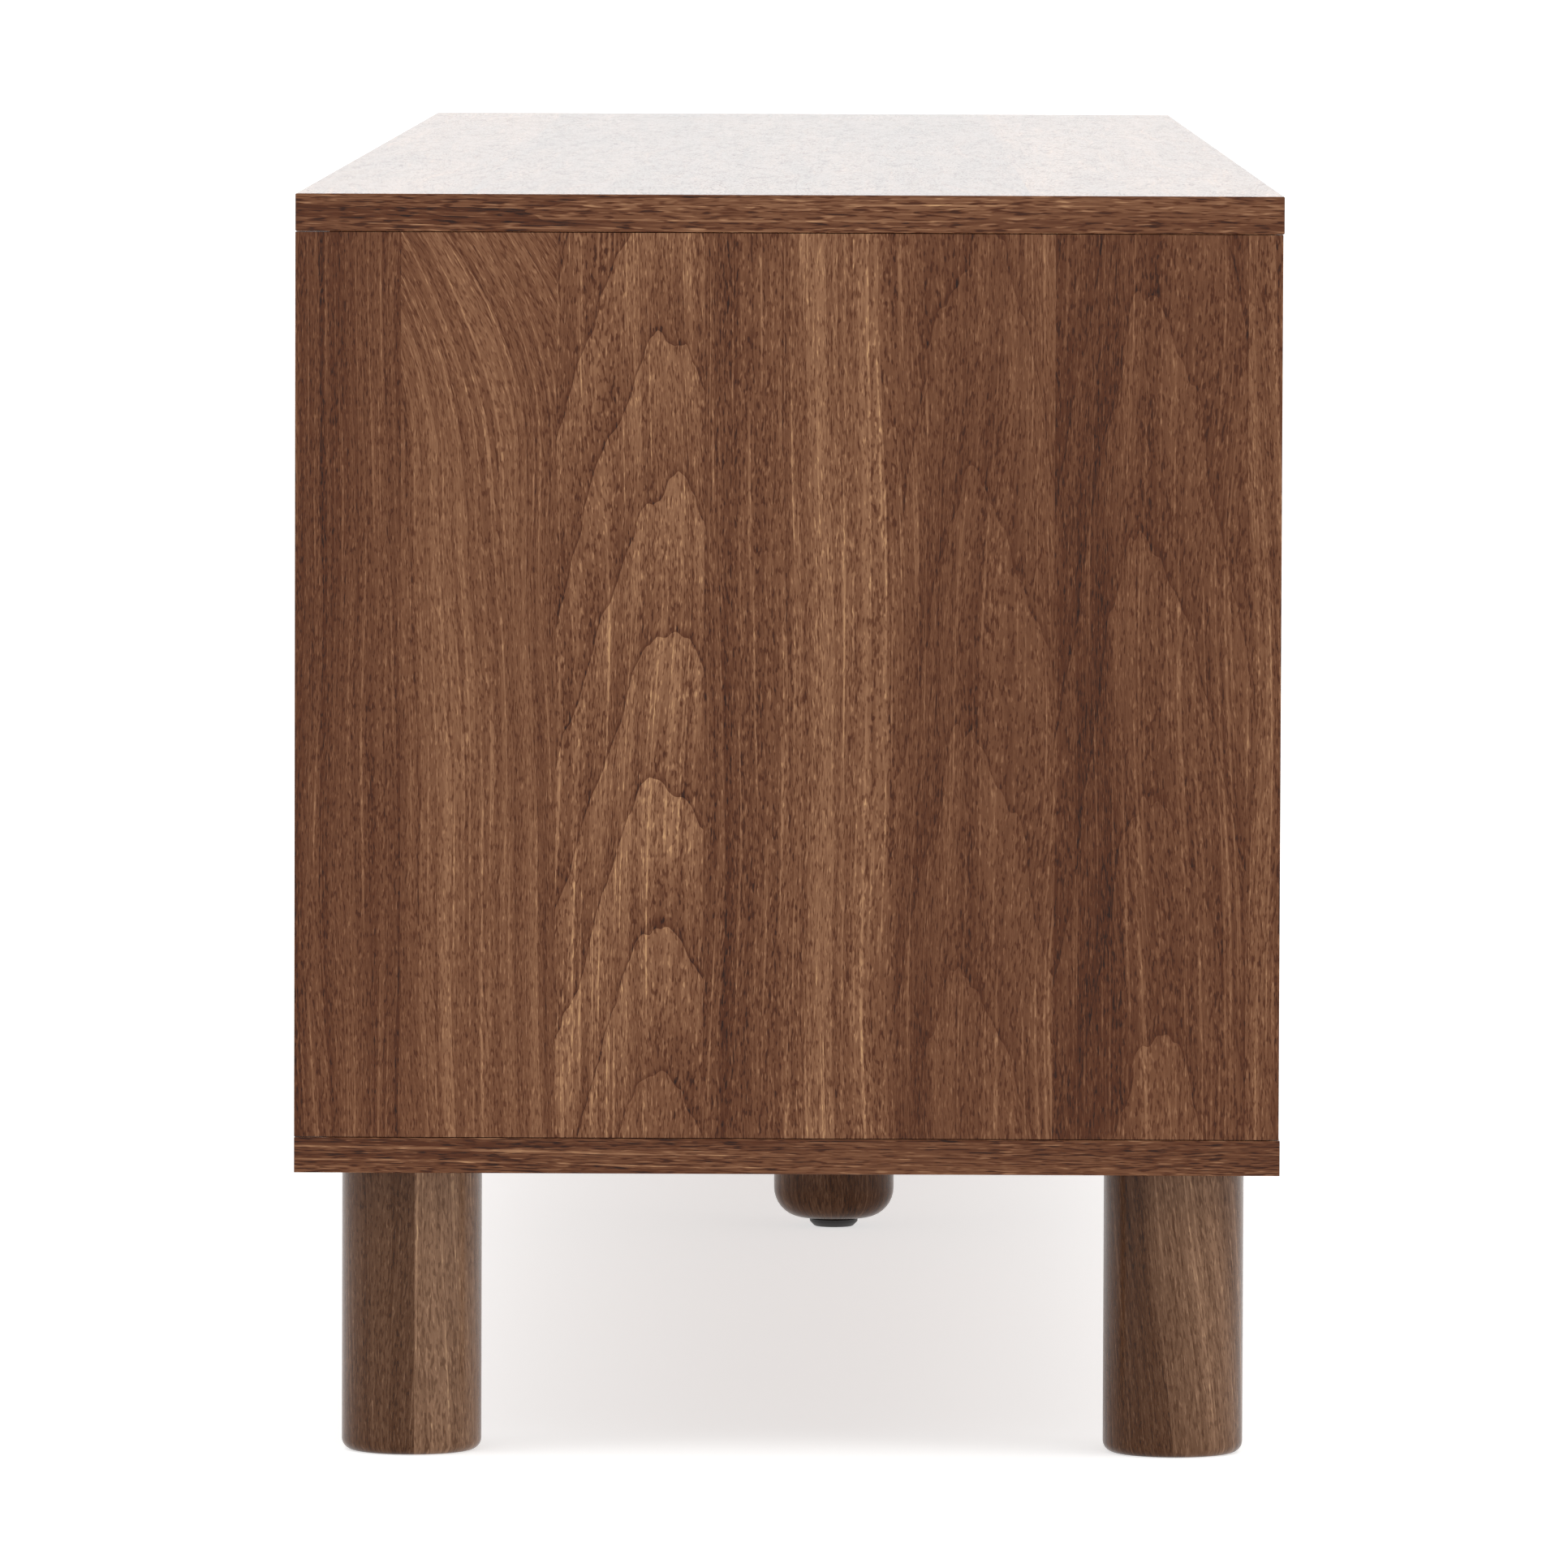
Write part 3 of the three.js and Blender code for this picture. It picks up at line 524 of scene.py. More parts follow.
def map_board(solid, grain, across, leaves, box, from_high, seed):
    """Gives each corner of a board its place along and across a leaf, and the leaf's figures."""
    low, high = box
    stored = grain_layers(solid)
    draw = random.Random(seed)
    starts = [0.0]
    for leaf in leaves:
        starts.append(starts[-1] + leaf.width)
    shifts = [draw.uniform(0, 4) for _ in leaves]
    thick = 3 - grain - across
    for face in solid.faces:
        centre = face.calc_center_median()
        facing = max(range(3), key=lambda axis: abs(face.normal[axis]))
        side = FAR_SIDE_LOT if face.normal[facing] > 0 else 0.0
        laid = high[across] - centre[across] if from_high else centre[across] - low[across]
        number = 0
        while number < len(leaves) - 1 and laid > starts[number + 1]:
            number += 1
        for loop in face.loops:
            place = loop.vert.co
            if facing == thick:
                leaf = leaves[number]
                laid = high[across] - place[across] if from_high else place[across] - low[across]
                over = laid - starts[number]
                along = place[grain] + (shifts[number] if leaf.shift is None else leaf.shift)
                swung = over - leaf.heart + leaf.swing_at(place[grain])
                value = (along, swung, seed + number * LEAF_LOT + side)
                tone = leaf.tone_at(over / leaf.width)
            else:
                leaf = EDGE_BAND
                along = place[across if facing == grain else grain] * EDGE_STRETCH
                over = place[thick] - (low[thick] + high[thick]) / 2
                value = (along, over, seed + EDGE_LOT + side)
                tone = leaf.tones[0]
            loop[stored[0]] = value
            loop[stored[1]] = (tone, leaf.contrast, leaf.figure)
            loop[stored[2]] = leaf.rings


def cut_at(solid, axis, place):
    """Divides every face that crosses a plane."""
    way = Vector([1.0 if number == axis else 0.0 for number in range(3)])
    whole = [*solid.verts, *solid.edges, *solid.faces]
    bmesh.ops.bisect_plane(solid, geom=whole, plane_co=way * place, plane_no=way)


BEND_STEPS = 10


def divide_board(solid, grain, across, leaves, box, from_high):
    """Cuts a board's faces at each joint between leaves, change of tone and bend in the grain."""
    low, high = box
    laid = 0.0
    for leaf in leaves:
        steps = len(leaf.tones) - 1
        for step in range(1, steps + 1):
            here = laid + leaf.width * step / steps
            place = high[across] - here if from_high else low[across] + here
            if low[across] + 2 * EASE < place < high[across] - 2 * EASE:
                cut_at(solid, across, place)
        laid += leaf.width
        if leaf.bend:
            start, full, _ = leaf.bend
            for step in range(BEND_STEPS):
                cut_at(solid, grain, start + (full - start) * step / BEND_STEPS)


def veneered_board(node, grain, across, seed, leaves=None, from_high=False, finish=None, ease=EASE):
    """Replaces a packed board by a copy with eased edges and leaves of veneer."""
    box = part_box(node)
    grain, across = AXES[grain], AXES[across]
    leaves = leaves or shuffled_leaves(box[1][across] - box[0][across], seed)
    solid = solid_copy(node)
    ease_edges(solid, ease)
    divide_board(solid, grain, across, leaves, box, from_high)
    map_board(solid, grain, across, leaves, box, from_high, seed)
    name = node + "_veneered"
    mesh_data = as_mesh(solid, name, smooth=10)
    return add_piece(name, mesh_data, finish or walnut_veneer, body_of[node], slot_of[node], node)


print("attributes on a board's corners:", ", ".join(GRAIN_NAMES))

# %% Lay up the case, the doors and the drawer front
veneered_board("left_end_panel", "Z", "Y", 1, END_LEAVES, from_high=True)
veneered_board("right_end_panel", "Z", "Y", 2, END_LEAVES)
upright = ("left_partition", "right_partition")
lying = ("top_panel", "bottom_panel", "niche_shelf", "left_shelf", "right_shelf")
fronts = ("left_door", "right_door", "drawer_front")
backs = ("left_back_panel", "centre_back_panel", "right_back_panel")
for seed, node in enumerate(upright, start=3):
    veneered_board(node, "Z", "Y", seed)
for seed, node in enumerate(lying, start=5):
    veneered_board(node, "X", "Y", seed)
for seed, node in enumerate(fronts, start=10):
    veneered_board(node, "Z", "X", seed)
for seed, node in enumerate(backs, start=13):
    veneered_board(node, "Z", "X", seed, finish=walnut_foil, ease=BACK_EASE)

# %% [markdown]
# ## Drawer box
# Drawer boxes in cabinets like this are made of board wrapped in a plain printed foil, lighter and
# calmer than the veneer outside. The same graph makes it, with its contrast turned down.

# %% Make the drawer box
# Drawer foil gives the eye a dusty mid brown, almost plain, that makes the dark front look richer
DRAWER_TONES = ("#4a3526", "#6b4f3b", "#7b5d47", "#8b6b53", "#a07f63")
drawer_foil = wood("printed_foil_on_drawer_board", DRAWER_TONES, 0.42, contrast=0.55, relief=0.1)
for seed, node in enumerate(("drawer_left_side", "drawer_right_side"), start=20):
    veneered_board(node, "Y", "Z", seed, finish=drawer_foil)
veneered_board("drawer_rear", "X", "Z", 22, finish=drawer_foil)
veneered_board("drawer_bottom", "X", "Y", 23, finish=drawer_foil, ease=BACK_EASE)
low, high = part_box("drawer_bottom")
print("drawer bottom, metres:", [round(size, 3) for size in high - low])

# %% [markdown]
# ## Legs
# The legs are turned from solid walnut glued up from three staves, so each leg shows straight seams
# where one stave's tone meets the next. A lathe is copied in code: an outline is spun about the
# leg's axis, with a fine chamfer at the head and a rounded foot. Staves don't always run true, so
# the columns of the mesh twist a little with height, and the seams lean with them.

# %% Spin a shape
COLUMNS = 96
HEAD_ROUND = 0.8 * MM
ROUND_STEPS = 9
SHAFT_STEPS = 6  # the shaft is divided so that a twist has rings to follow


def ring_of_points(solid, radius, height, turned=0.0):
    """A ring of vertices about the vertical axis, turned by an angle."""
    angles = [math.tau * column / COLUMNS + turned for column in range(COLUMNS)]
    return [solid.verts.new((radius * math.cos(a), radius * math.sin(a), height)) for a in angles]


def spin(outline, twist=0.0):
    """Spins (radius, height) points about the vertical axis; the first and last are on the axis."""
    solid = bmesh.new()
    rings = [ring_of_points(solid, radius, z, twist * z) for radius, z in outline[1:-1]]
    foot = solid.verts.new((0, 0, outline[0][1]))
    head = solid.verts.new((0, 0, outline[-1][1]))
    for column in range(COLUMNS):
        after = (column + 1) % COLUMNS
        solid.faces.new((foot, rings[0][after], rings[0][column]))
        for lower, upper in zip(rings, rings[1:]):
            solid.faces.new((lower[column], lower[after], upper[after], upper[column]))
        solid.faces.new((head, rings[-1][column], rings[-1][after]))
    return solid


def leg_outline(radius, base, top, foot_round, bolt_bore, stud_bore=None):
    """A leg's outline from foot to head. Each bore is (radius, height where it ends)."""
    outline = [(0, base)]
    if stud_bore:
        outline = [(0, stud_bore[1]), stud_bore, (stud_bore[0], base)]
    for step in range(ROUND_STEPS + 1):
        angle = math.pi / 2 * step / ROUND_STEPS
        outline.append(
            (radius - foot_round * (1 - math.sin(angle)), base + foot_round * (1 - math.cos(angle)))
        )
    shaft = top - HEAD_ROUND - base - foot_round
    for step in range(1, SHAFT_STEPS):
        outline.append((radius, base + foot_round + shaft * step / SHAFT_STEPS))
    outline += [(radius, top - HEAD_ROUND), (radius - HEAD_ROUND, top), (bolt_bore[0], top)]
    return outline + [bolt_bore, (0, bolt_bore[1])]


print("points on a leg's outline:", len(leg_outline(0.03, 0, 0.12, 0.005, (0.004, 0.08))))

# %% Turn the five legs
FOOT_ROUND = 5 * MM
CENTRE_FOOT_ROUND = 15 * MM
STAVE_TONES = ("#1c0a02", "#432611", "#614430", "#84644d", "#ab8a68")
STAVE_LEAF = (1.0, 0.5)  # contrast, and strength of the ring lines
STAVE_RINGS = (0.03, 0.05, 0.006)  # taper, depth from the heart, and width of a ring
STAVE_FROM_HEART = 0.06
LEG_LOT = 30
STAVE_LOT = 1 / 4
BOLT_CLEARANCE = 0.35 * MM
STUD_SPARE = 4 * MM
# Solid walnut gives the eye a greyer, calmer brown than the veneer, and a soft light on its side
walnut_staves = wood("walnut_staves_satin_lacquer", STAVE_TONES, roughness=0.24, contrast=0.75)


def turned_leg(node, staves, twist, foot_round, seed, stud=None):
    """Replaces a packed leg. staves are (first angle in degrees, tone) pairs, round the leg."""
    low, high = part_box(node)
    radius = (high.x - low.x) / 2
    bolt_low, bolt_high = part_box(node + "_bolt")
    bolt_bore = ((bolt_high.x - bolt_low.x) / 2 + BOLT_CLEARANCE, bolt_low.z - BOLT_CLEARANCE)
    stud_bore = None
    if stud:
        stud_low, stud_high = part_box(stud)
        stud_bore = ((stud_high.x - stud_low.x) / 2 + BOLT_CLEARANCE, stud_high.z + STUD_SPARE)
    solid = spin(leg_outline(radius, low.z, high.z, foot_round, bolt_bore, stud_bore), twist)
    stored = grain_layers(solid)
    for face in solid.faces:
        centre = face.calc_center_median()
        around = (math.atan2(centre.y, centre.x) - twist * centre.z) % math.tau
        begun = [index for index, (first, _) in enumerate(staves) if math.degrees(around) >= first]
        number = begun[-1] if begun else len(staves) - 1
        for loop in face.loops:
            place = loop.vert.co
            angle = math.atan2(place.y, place.x) - twist * place.z
            angle = around + math.remainder(angle - around, math.tau)
            is_end = abs(face.normal.z) > 0.9
            along, over = (place.x, place.y) if is_end else (place.z, radius * angle)
            lot = LEG_LOT + seed + number * STAVE_LOT
            loop[stored[0]] = (along + number, over + STAVE_FROM_HEART, lot)
            loop[stored[1]] = (staves[number][1], *STAVE_LEAF)
            loop[stored[2]] = STAVE_RINGS
    middle = (low + high) / 2
    mesh_data = as_mesh(solid, node + "_turned", 40, Matrix.Translation((middle.x, middle.y, 0)))
    add_piece(node + "_turned", mesh_data, walnut_staves, body_of[node], slot_of[node], node)


turned_leg("rear_left_leg", [(63, 0.36), (183, 0.58), (303, 0.46)], 0.0, FOOT_ROUND, 1)
turned_leg("front_left_leg", [(70, 0.32), (180, 0.54), (320, 0.46)], -3.3, FOOT_ROUND, 2)
turned_leg("rear_right_leg", [(20, 0.44), (150, 0.58), (260, 0.42)], -1.0, FOOT_ROUND, 3)
turned_leg("front_right_leg", [(40, 0.56), (170, 0.42), (290, 0.52)], 1.5, FOOT_ROUND, 4)
# Painted shade: the centre leg's staves get darker tones than the outer legs', standing in for the
# shade that falls on it under the case
centre_staves_painted_shade = [(10, 0.36), (130, 0.30), (250, 0.34)]
turned_leg("centre_leg", centre_staves_painted_shade, 0.0, CENTRE_FOOT_ROUND, 5, "levelling_foot_stud")
print("legs: 5 of", COLUMNS, "columns each")

# %% [markdown]
# ## Plastics and metal
# Three finishes make the hardware: black injection-moulded ABS with a fine spark-eroded texture,
# off-white nylon for the bushes, and zinc-plated pressed steel with a faint rolled grain.

# %% Moulded plastics and zinc-plated steel
TEXTURE_DEPTH = 0.05 * MM
TEXTURE_STRENGTH = 0.25
TEXTURE_ROUGHNESS = 0.15
MILL_ROUGHNESS = 0.16
FLOW_TONE = 0.3
CLOUD_EDGES = (0.35, 0.65)
# Patterns to the metre, so the marks are 17 mm across, the clouds 22 mm, and the lines 1.1 by 25 mm
FLOW_MARKS = 60.0
CLOUDS = 45.0
MILL_LINES = (900.0, 40.0, 900.0)  # real rolling lines are finer, and these are seen in a close-up


def moulded(name, code, roughness, ior, texture):
    """Injection-moulded plastic. texture is the grain that a spark-eroded mould leaves."""
    material, tree = new_material(name)
    place = add(tree, "ShaderNodeTexCoord").outputs["Object"]
    speckle = add(
        tree, "ShaderNodeTexNoise", {"Vector": place, "Scale": 1 / texture, "Detail": 2.0}
    )
    flow = add(tree, "ShaderNodeTexNoise", {"Vector": place, "Scale": FLOW_MARKS, "Detail": 1.0})
    value = add(
        tree,
        "ShaderNodeMath",
        {0: flow, 1: FLOW_TONE, 2: 1 - FLOW_TONE / 2},
        operation="MULTIPLY_ADD",
    )
    tint = add(tree, "ShaderNodeHueSaturation", {"Color": colour(code), "Value": value})
    bump = add(
        tree,
        "ShaderNodeBump",
        {"Strength": TEXTURE_STRENGTH, "Distance": TEXTURE_DEPTH, "Height": speckle},
    )
    rough = add(
        tree,
        "ShaderNodeMath",
        {0: speckle, 1: TEXTURE_ROUGHNESS, 2: roughness},
        operation="MULTIPLY_ADD",
    )
    shader = add(
        tree,
        "ShaderNodeBsdfPrincipled",
        {"Base Color": tint, "Roughness": rough, "IOR": ior, "Normal": bump},
    )
    add(tree, "ShaderNodeOutputMaterial", {"Surface": shader})
    return material


def plated_steel(name, bright, dull, roughness):
    """Pressed steel with zinc plating, clouded, with a faint grain from the rolling mill."""
    material, tree = new_material(name)
    place = add(tree, "ShaderNodeTexCoord").outputs["Object"]
    rolled = add(tree, "ShaderNodeMapping", {"Vector": place, "Scale": MILL_LINES})
    mill = add(tree, "ShaderNodeTexNoise", {"Vector": rolled, "Scale": 1.0, "Detail": 2.0})
    cloud = add(tree, "ShaderNodeTexNoise", {"Vector": place, "Scale": CLOUDS, "Detail": 3.0})
    tint = add(tree, "ShaderNodeValToRGB", {"Fac": cloud})
    for element, position, code in zip(tint.color_ramp.elements, CLOUD_EDGES, (dull, bright)):
        element.position = position
        element.color = colour(code)
    rough = add(
        tree,
        "ShaderNodeMath",
        {0: mill, 1: MILL_ROUGHNESS, 2: roughness},
        operation="MULTIPLY_ADD",
    )
    shader = add(
        tree,
        "ShaderNodeBsdfPrincipled",
        {"Base Color": tint, "Metallic": 1.0, "Roughness": rough},
    )
    add(tree, "ShaderNodeOutputMaterial", {"Surface": shader})
    return material


# Real moulded grain is about a tenth of a millimetre, and these are coarser so that they show
MOULD_GRAIN = 0.5 * MM
NYLON_GRAIN = 0.8 * MM
# Moulded ABS gives the eye a warm near-black that is never glossy
black_abs = moulded("black_abs_spark_eroded", "#1b1817", 0.42, 1.54, MOULD_GRAIN)
# Nylon gives the eye a milky off-white with a waxy shine
white_nylon = moulded("white_nylon_moulded", "#d6d2c8", 0.4, 1.53, NYLON_GRAIN)
# Zinc plating gives the eye a cool, slightly clouded grey that streaks along the rolling direction
zinc_steel = plated_steel("zinc_plated_steel", "#c3c6ca", "#a0a4a8", 0.26)
finish_of_slot = {"steel": zinc_steel, "black_plastic": black_abs, "white_nylon": white_nylon}
print("hardware finishes:", {slot: finish.name for slot, finish in finish_of_slot.items()})

# %% [markdown]
# ## Small hardware
# Pins, bushes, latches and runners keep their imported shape. A copy with its corners eased by a
# tenth or two of a millimetre reads as pressed or moulded rather than cut from paper.

# %% Ease the small hardware
SMALL_EASE = {"steel": 0.15 * MM, "black_plastic": 0.4 * MM, "white_nylon": 0.2 * MM}
made_below = ("levelling_foot_pad", "cable_grommet")
hardware = [n for n in slot_of if slot_of[n] in finish_of_slot and n not in made_below]
for node in hardware:
    solid = solid_copy(node)
    ease_edges(solid, SMALL_EASE[slot_of[node]])
    mesh_data = as_mesh(solid, node + "_eased", 35)
    finish = finish_of_slot[slot_of[node]]
    add_piece(node + "_eased", mesh_data, finish, body_of[node], slot_of[node], node)
print("small hardware:", len(hardware))

# %% [markdown]
# ## The levelling foot and the cable grommet
# Both are turned shapes seen up close, so they are spun again with more columns and softer edges.
# The foot is a shallow cup that narrows to the floor. The grommet is a ring: its outline closes on
# itself instead of meeting the axis.

# %% Spin the foot
SOCKET_SEAM = 0.3 * MM
low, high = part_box("levelling_foot_pad")
wide = (high.x - low.x) / 2
tall = high.z - low.z
stud_low, stud_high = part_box("levelling_foot_stud")
socket = (stud_high.x - stud_low.x) / 2 + BOLT_CLEARANCE
socket_floor = stud_low.z - low.z - SOCKET_SEAM
# Radius and height: the sole, the flare, the rounded rim, and the stud's socket
foot_outline = [
    (0, 0),
    (wide - 2.9 * MM, 0),
    (wide - 2.2 * MM, 0.3 * MM),
    (wide - 0.5 * MM, 2.0 * MM),
    (wide, 2.6 * MM),
    (wide, tall - 0.6 * MM),
    (wide - 0.2 * MM, tall - 0.2 * MM),
    (wide - 0.6 * MM, tall),
    (socket, tall),
    (socket, socket_floor),
    (0, socket_floor),
]
print("foot, millimetres wide and tall:", round(2 * wide / MM, 1), round(tall / MM, 1))
place = Matrix.Translation(((low.x + high.x) / 2, (low.y + high.y) / 2, low.z))
foot_mesh = as_mesh(spin(foot_outline), "levelling_foot_cup", 40, place)
add_piece(
    "levelling_foot_cup",
    foot_mesh,
    black_abs,
    "levelling_foot",
    "black_plastic",
    "levelling_foot_pad",
)


# %% Spin the grommet
def spin_ring(outline):
    """Spins a closed outline of (radius, height) points that stays clear of the axis."""
    solid = bmesh.new()
    rings = [ring_of_points(solid, radius, height) for radius, height in outline]
    for lower, upper in zip(rings, rings[1:] + rings[:1]):
        for column in range(COLUMNS):
            after = (column + 1) % COLUMNS
            solid.faces.new((lower[column], lower[after], upper[after], upper[column]))
    bmesh.ops.recalc_face_normals(solid, faces=solid.faces)
    return solid


FLANGE_WIDTH = 5.6 * MM
BARREL_WALL = 3 * MM
LIP = 2 * MM
low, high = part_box("cable_grommet")
flange = (high.x - low.x) / 2
barrel = flange - FLANGE_WIDTH
bore = barrel - BARREL_WALL
length = high.y - low.y
print("grommet bore, millimetres across:", round(2 * bore / MM, 1))
# Radius and height: the barrel, the back of the flange, and its front eased on both sides
grommet_outline = [
    (bore, 0),
    (barrel, 0),
    (barrel, length - LIP),
    (flange, length - LIP),
    (flange, length - LIP + 0.9 * MM),
    (flange - 0.6 * MM, length - 0.3 * MM),
    (flange - 1.6 * MM, length),
    (bore + 1.4 * MM, length),
    (bore + 0.4 * MM, length - 0.4 * MM),
    (bore, length - 1.4 * MM),
]
place = Matrix.Translation(((low.x + high.x) / 2, high.y, (low.z + high.z) / 2))
facing_front = Matrix.Rotation(math.radians(90), 4, "X")
grommet_mesh = as_mesh(spin_ring(grommet_outline), "cable_grommet_ring", 40, place @ facing_front)
add_piece("cable_grommet_ring", grommet_mesh, black_abs, "case", "black_plastic", "cable_grommet")

# %% [markdown]
# ## Screws and steel balls
# Fixings repeat, so Geometry Nodes make them. One graph stands a cross-head screw on each of a few
# points, facing the way that the point's attribute says, with its cross turned at random. Another
# lays a row of bearing balls from each point. Both end in plain mesh, one piece for each body.

# %% Start the screw graph
def new_graph(name, sizes):
    """A Geometry Nodes graph with named number inputs, and its input node."""
    graph = bpy.data.node_groups.new(name, "GeometryNodeTree")
    graph.interface.new_socket("Geometry", in_out="INPUT", socket_type="NodeSocketGeometry")
    for size, kind in sizes.items():
        graph.interface.new_socket(size, in_out="INPUT", socket_type=kind)
    graph.interface.new_socket("Geometry", in_out="OUTPUT", socket_type="NodeSocketGeometry")
    return graph, add(graph, "NodeGroupInput")


NUMBER = "NodeSocketFloat"
# Parts of a screw's radius
CROWN = 0.78
SLOT_LONG = 1.15
SLOT_WIDE = 0.24
screws, given = new_graph("cross_head_screws", {"Radius": NUMBER, "Height": NUMBER})
radius = given.outputs["Radius"]
height = given.outputs["Height"]
crown = add(screws, "ShaderNodeMath", {0: radius, 1: CROWN}, operation="MULTIPLY")
head = add(
    screws,
    "GeometryNodeMeshCone",
    {"Vertices": 20, "Radius Top": crown, "Radius Bottom": radius, "Depth": height},
)
print("screw graph takes:", [item.name for item in screws.interface.items_tree][1:])

# %% Cut the cross
slot_long = add(screws, "ShaderNodeMath", {0: radius, 1: SLOT_LONG}, operation="MULTIPLY")
slot_wide = add(screws, "ShaderNodeMath", {0: radius, 1: SLOT_WIDE}, operation="MULTIPLY")
lift = add(screws, "ShaderNodeCombineXYZ", {"Z": height})
# Two bars make the cross, cut one after the other. The exact solver keeps so small a mesh closed
cut_head = head
for bar_x, bar_y in ((slot_long, slot_wide), (slot_wide, slot_long)):
    size = add(screws, "ShaderNodeCombineXYZ", {"X": bar_x, "Y": bar_y, "Z": height})
    bar = add(screws, "GeometryNodeMeshCube", {"Size": size})
    bar = add(screws, "GeometryNodeTransform", {"Geometry": bar, "Translation": lift})
    cut_head = add(
        screws,
        "GeometryNodeMeshBoolean",
        {"Mesh 1": cut_head, "Mesh 2": bar},
        operation="DIFFERENCE",
        solver="EXACT",
    )
print("nodes in the screw so far:", len(screws.nodes))


# %% Stand a screw on each point
SPIN_SEED = 7


def finish_graph(graph, geometry, material):
    """Makes the instances real and gives them their material."""
    real = add(graph, "GeometryNodeRealizeInstances", {0: geometry})
    finished = add(graph, "GeometryNodeSetMaterial", {"Geometry": real, "Material": material})
    add(graph, "NodeGroupOutput", {0: finished})


facing = add(
    screws,
    "GeometryNodeInputNamedAttribute",
    {"Name": "facing"},
    data_type="FLOAT_VECTOR",
)
aim = add(screws, "FunctionNodeAlignRotationToVector", {"Vector": facing}, axis="Z")
spun = add(
    screws,
    "FunctionNodeRandomValue",
    {"Min": 0.0, "Max": math.tau, "Seed": SPIN_SEED},
    data_type="FLOAT",
)
spun = add(screws, "ShaderNodeCombineXYZ", {"Z": spun.outputs["Value"]})
aim = add(
    screws,
    "FunctionNodeRotateRotation",
    {"Rotation": aim, "Rotate By": spun},
    rotation_space="LOCAL",
)
placed = add(
    screws,
    "GeometryNodeInstanceOnPoints",
    {"Points": given.outputs["Geometry"], "Instance": cut_head, "Rotation": aim},
)
finish_graph(screws, placed, zinc_steel)
print("nodes in the screw graph:", len(screws.nodes))

# %% Drive the screws
def from_points(name, points, facings, graph, sizes, material, body, slot):
    """Runs a graph on points and keeps the plain mesh that it makes."""
    seeds = bpy.data.meshes.new(name + "_points")
    seeds.from_pydata(points, [], [])
    facing = seeds.attributes.new("facing", "FLOAT_VECTOR", "POINT")
    for number, value in enumerate(facings):
        facing.data[number].vector = value
    holder = bpy.data.objects.new(name + "_points", seeds)
    bpy.context.scene.collection.objects.link(holder)
    modifier = holder.modifiers.new("graph", "NODES")
    modifier.node_group = graph
    sockets = {item.name: item.identifier for item in graph.interface.items_tree}
    for size, value in sizes.items():
        modifier[sockets[size]] = value
    evaluated = holder.evaluated_get(bpy.context.evaluated_depsgraph_get())
    mesh_data = bpy.data.meshes.new_from_object(evaluated)
    bpy.data.objects.remove(holder)
    mesh_data.name = name
    print(name, "has", len(mesh_data.polygons), "faces")
    return add_piece(name, mesh_data, material, body, slot)


LATCH_SCREW = {"Radius": 2.6 * MM, "Height": 1.0 * MM}
STRIKE_SCREW = {"Radius": 1.6 * MM, "Height": 0.4 * MM}
LATCH_SCREW_PLACES = (0.2, 0.85)  # parts of the housing's length
STRIKE_SCREW_OFFSET = Vector((0, 0, 4 * MM))


def face_point(node, axis, way, parts):
    """A point on one face of a node's box, at parts of the box's size along the three axes."""
    low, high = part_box(node)
    place = Vector([low[i] + (high[i] - low[i]) * parts[i] for i in range(3)])
    place[axis] = high[axis] if way > 0 else low[axis]
    return place


latch_points = [
    face_point(name + "_latch_housing", AXES["Z"], -1, (0.5, part, 0.5))
    for name in ("left", "right")
    for part in LATCH_SCREW_PLACES
]
from_points(
    "latch_screws",
    latch_points,
    [(0, 0, -1)] * len(latch_points),
    screws,
    LATCH_SCREW,
    zinc_steel,
    "case",
    "steel",
)
for name in ("left", "right"):
    centre = face_point(name + "_strike_plate", AXES["Y"], 1, (0.5, 0.5, 0.5))
    from_points(
        name + "_strike_screws",
        [centre + STRIKE_SCREW_OFFSET, centre - STRIKE_SCREW_OFFSET],
        [(0, 1, 0)] * 2,
        screws,
        STRIKE_SCREW,
        zinc_steel,
        name + "_door",
        "steel",
    )

# %% The ball graph
ball_inputs = {"Radius": NUMBER, "Pitch": NUMBER, "Count": "NodeSocketInt"}
balls, given = new_graph("ball_rows", ball_inputs)
pitch = add(balls, "ShaderNodeCombineXYZ", {"Y": given.outputs["Pitch"]})
line = add(balls, "GeometryNodeMeshLine", {"Count": given.outputs["Count"], "Offset": pitch})
rows = add(
    balls, "GeometryNodeInstanceOnPoints", {"Points": given.outputs["Geometry"], "Instance": line}
)
rows = add(balls, "GeometryNodeRealizeInstances", {0: rows})
ball = add(
    balls,
    "GeometryNodeMeshUVSphere",
    {"Segments": 8, "Rings": 6, "Radius": given.outputs["Radius"]},
)
ball = add(balls, "GeometryNodeSetShadeSmooth", {0: ball})
placed = add(balls, "GeometryNodeInstanceOnPoints", {"Points": rows, "Instance": ball})
finish_graph(balls, placed, zinc_steel)
print("nodes in the ball graph:", len(balls.nodes))

# %% Lay the balls in the runners
BALL = 1.4 * MM
BALL_PITCH = 10 * MM
BALLS = 15
RUNNER_SHEET = 1.2 * MM
ball_starts = []
for name in ("left", "right"):
    low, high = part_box(name + "_middle_runner")
    case_low, case_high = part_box(name + "_case_runner")
    drawer_low, drawer_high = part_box(name + "_drawer_runner")
    middle_x = (low.x + high.x) / 2
    rear_half = (low.y + high.y) / 2 + BALL_PITCH / 2
    front_half = low.y + BALL_PITCH / 2
    gaps = [
        (case_high.z, high.z, rear_half),
        (case_low.z, low.z, rear_half),
        (high.z, drawer_high.z, front_half),
        (low.z, drawer_low.z, front_half),
    ]
    for outer, inner, start in gaps:
        side = 1 if outer > inner else -1
        gap_middle = (outer - side * RUNNER_SHEET + inner) / 2
        ball_starts.append((middle_x, start, gap_middle))
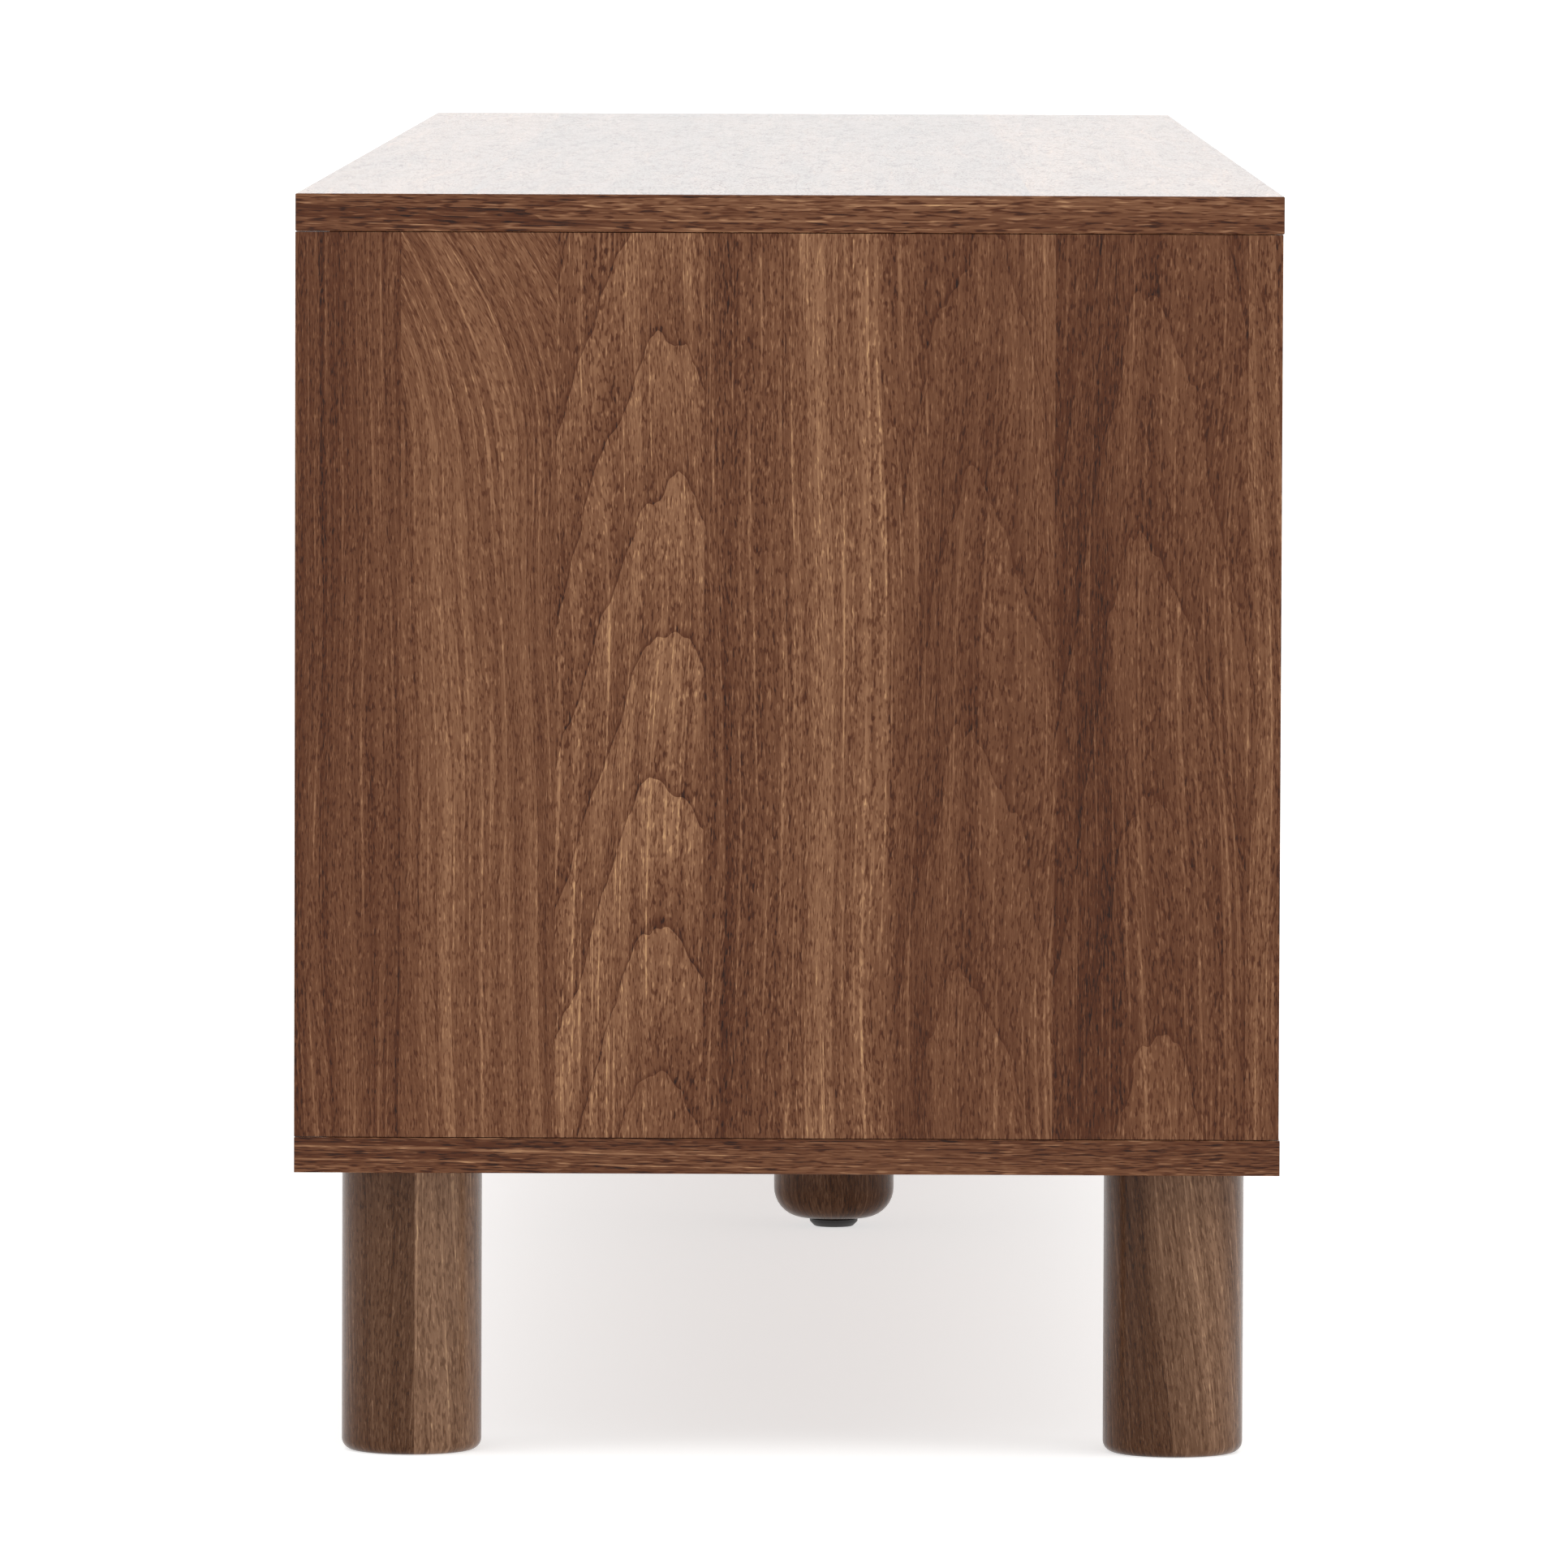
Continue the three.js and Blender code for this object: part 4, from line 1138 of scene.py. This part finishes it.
from_points(
    "runner_balls",
    ball_starts,
    [(0, 0, 1)] * len(ball_starts),
    balls,
    {"Radius": BALL, "Pitch": BALL_PITCH, "Count": BALLS},
    zinc_steel,
    "middle_runners",
    "steel",
)

# %% [markdown]
# ## The floor and the light
# The cabinet stands on a plain pale floor in a white studio. The room itself is the light, as in a
# cyclorama: brightest overhead, dimmer at head height, and bright again at the horizon, where the
# satin top mirrors it when seen almost edge on. Two broad softboxes add a little direction. The
# floor is a white sweep that is also lit from behind, as a product table is, so shadows stay pale.

# %% Lay the floor
FLOOR_SIZE = 120
FLOOR_GLOW = 0.62
WHITE = (1.0, 1.0, 1.0, 1.0)
# Matt white paint gives the eye an even paleness that holds only a soft shadow
floor_material, tree = new_material("studio_floor_matt_white")
place = add(tree, "ShaderNodeTexCoord").outputs["Object"]
speck = add(tree, "ShaderNodeTexNoise", {"Vector": place, "Scale": 3.0, "Detail": 2.0})
pale = add(tree, "ShaderNodeValToRGB", {"Fac": speck})
pale.color_ramp.elements[0].color = colour("#cfcfce")
pale.color_ramp.elements[1].color = colour("#d2d2d1")
floor_shader = add(
    tree,
    "ShaderNodeBsdfPrincipled",
    {
        "Base Color": pale,
        "Roughness": 0.9,
        "IOR": 1.2,  # a chalky paint scatters most of its mirror light
        "Emission Color": WHITE,
        "Emission Strength": FLOOR_GLOW,
    },
)
add(tree, "ShaderNodeOutputMaterial", {"Surface": floor_shader})
solid = bmesh.new()
bmesh.ops.create_grid(solid, x_segments=1, y_segments=1, size=FLOOR_SIZE / 2)
floor_mesh = as_mesh(solid, "studio_floor")
floor_mesh.materials.append(floor_material)
floor = bpy.data.objects.new("studio_floor", floor_mesh)
bpy.context.scene.collection.objects.link(floor)
print("floor, metres square:", FLOOR_SIZE)

# %% Light the studio
HORIZON_LIGHT = 1.9
WALL_LIGHT = 0.46
CEILING_LIGHT = 1.35
# Heights on the sky, from 0 at the horizon to 1 overhead, between which each light changes
HORIZON_FADE = (0.08, 0.22)
CEILING_RISE = (0.3, 0.75)
CABINET_MIDDLE = Vector((0, 0, 0.3))
SOFTBOX_SIZE = 3.0
SOFTBOX_WATTS = 55


def softbox(name, place, size, watts):
    """A square area light that faces the middle of the cabinet."""
    data = bpy.data.lights.new(name, "AREA")
    data.shape = "SQUARE"
    data.size = size
    data.energy = watts
    lamp = bpy.data.objects.new(name, data)
    aim = (CABINET_MIDDLE - Vector(place)).to_track_quat("-Z", "Y")
    lamp.matrix_world = Matrix.Translation(place) @ aim.to_matrix().to_4x4()
    bpy.context.scene.collection.objects.link(lamp)


softbox("front_softbox", (-3.5, -6.0, 3.5), SOFTBOX_SIZE, SOFTBOX_WATTS)
softbox("rear_softbox", (-3.5, 6.0, 3.5), SOFTBOX_SIZE, SOFTBOX_WATTS)

studio = bpy.data.worlds.new("white_studio")
bpy.context.scene.world = studio
studio.use_nodes = True
tree = studio.node_tree
tree.nodes.clear()
direction = add(tree, "ShaderNodeTexCoord").outputs["Generated"]
height = add(tree, "ShaderNodeSeparateXYZ", {0: direction}).outputs["Z"]
wall = add(
    tree,
    "ShaderNodeMapRange",
    {"Value": height, 1: HORIZON_FADE[0], 2: HORIZON_FADE[1], 3: HORIZON_LIGHT, 4: WALL_LIGHT},
    interpolation_type="SMOOTHSTEP",
)
ceiling = add(
    tree,
    "ShaderNodeMapRange",
    {"Value": height, 1: CEILING_RISE[0], 2: CEILING_RISE[1], 4: CEILING_LIGHT - WALL_LIGHT},
    interpolation_type="SMOOTHSTEP",
)
strength = add(tree, "ShaderNodeMath", {0: wall, 1: ceiling}, operation="ADD")
backdrop = add(tree, "ShaderNodeBackground", {"Color": WHITE, "Strength": strength})
add(tree, "ShaderNodeOutputWorld", {"Surface": backdrop})
bpy.context.scene.view_settings.view_transform = "Standard"
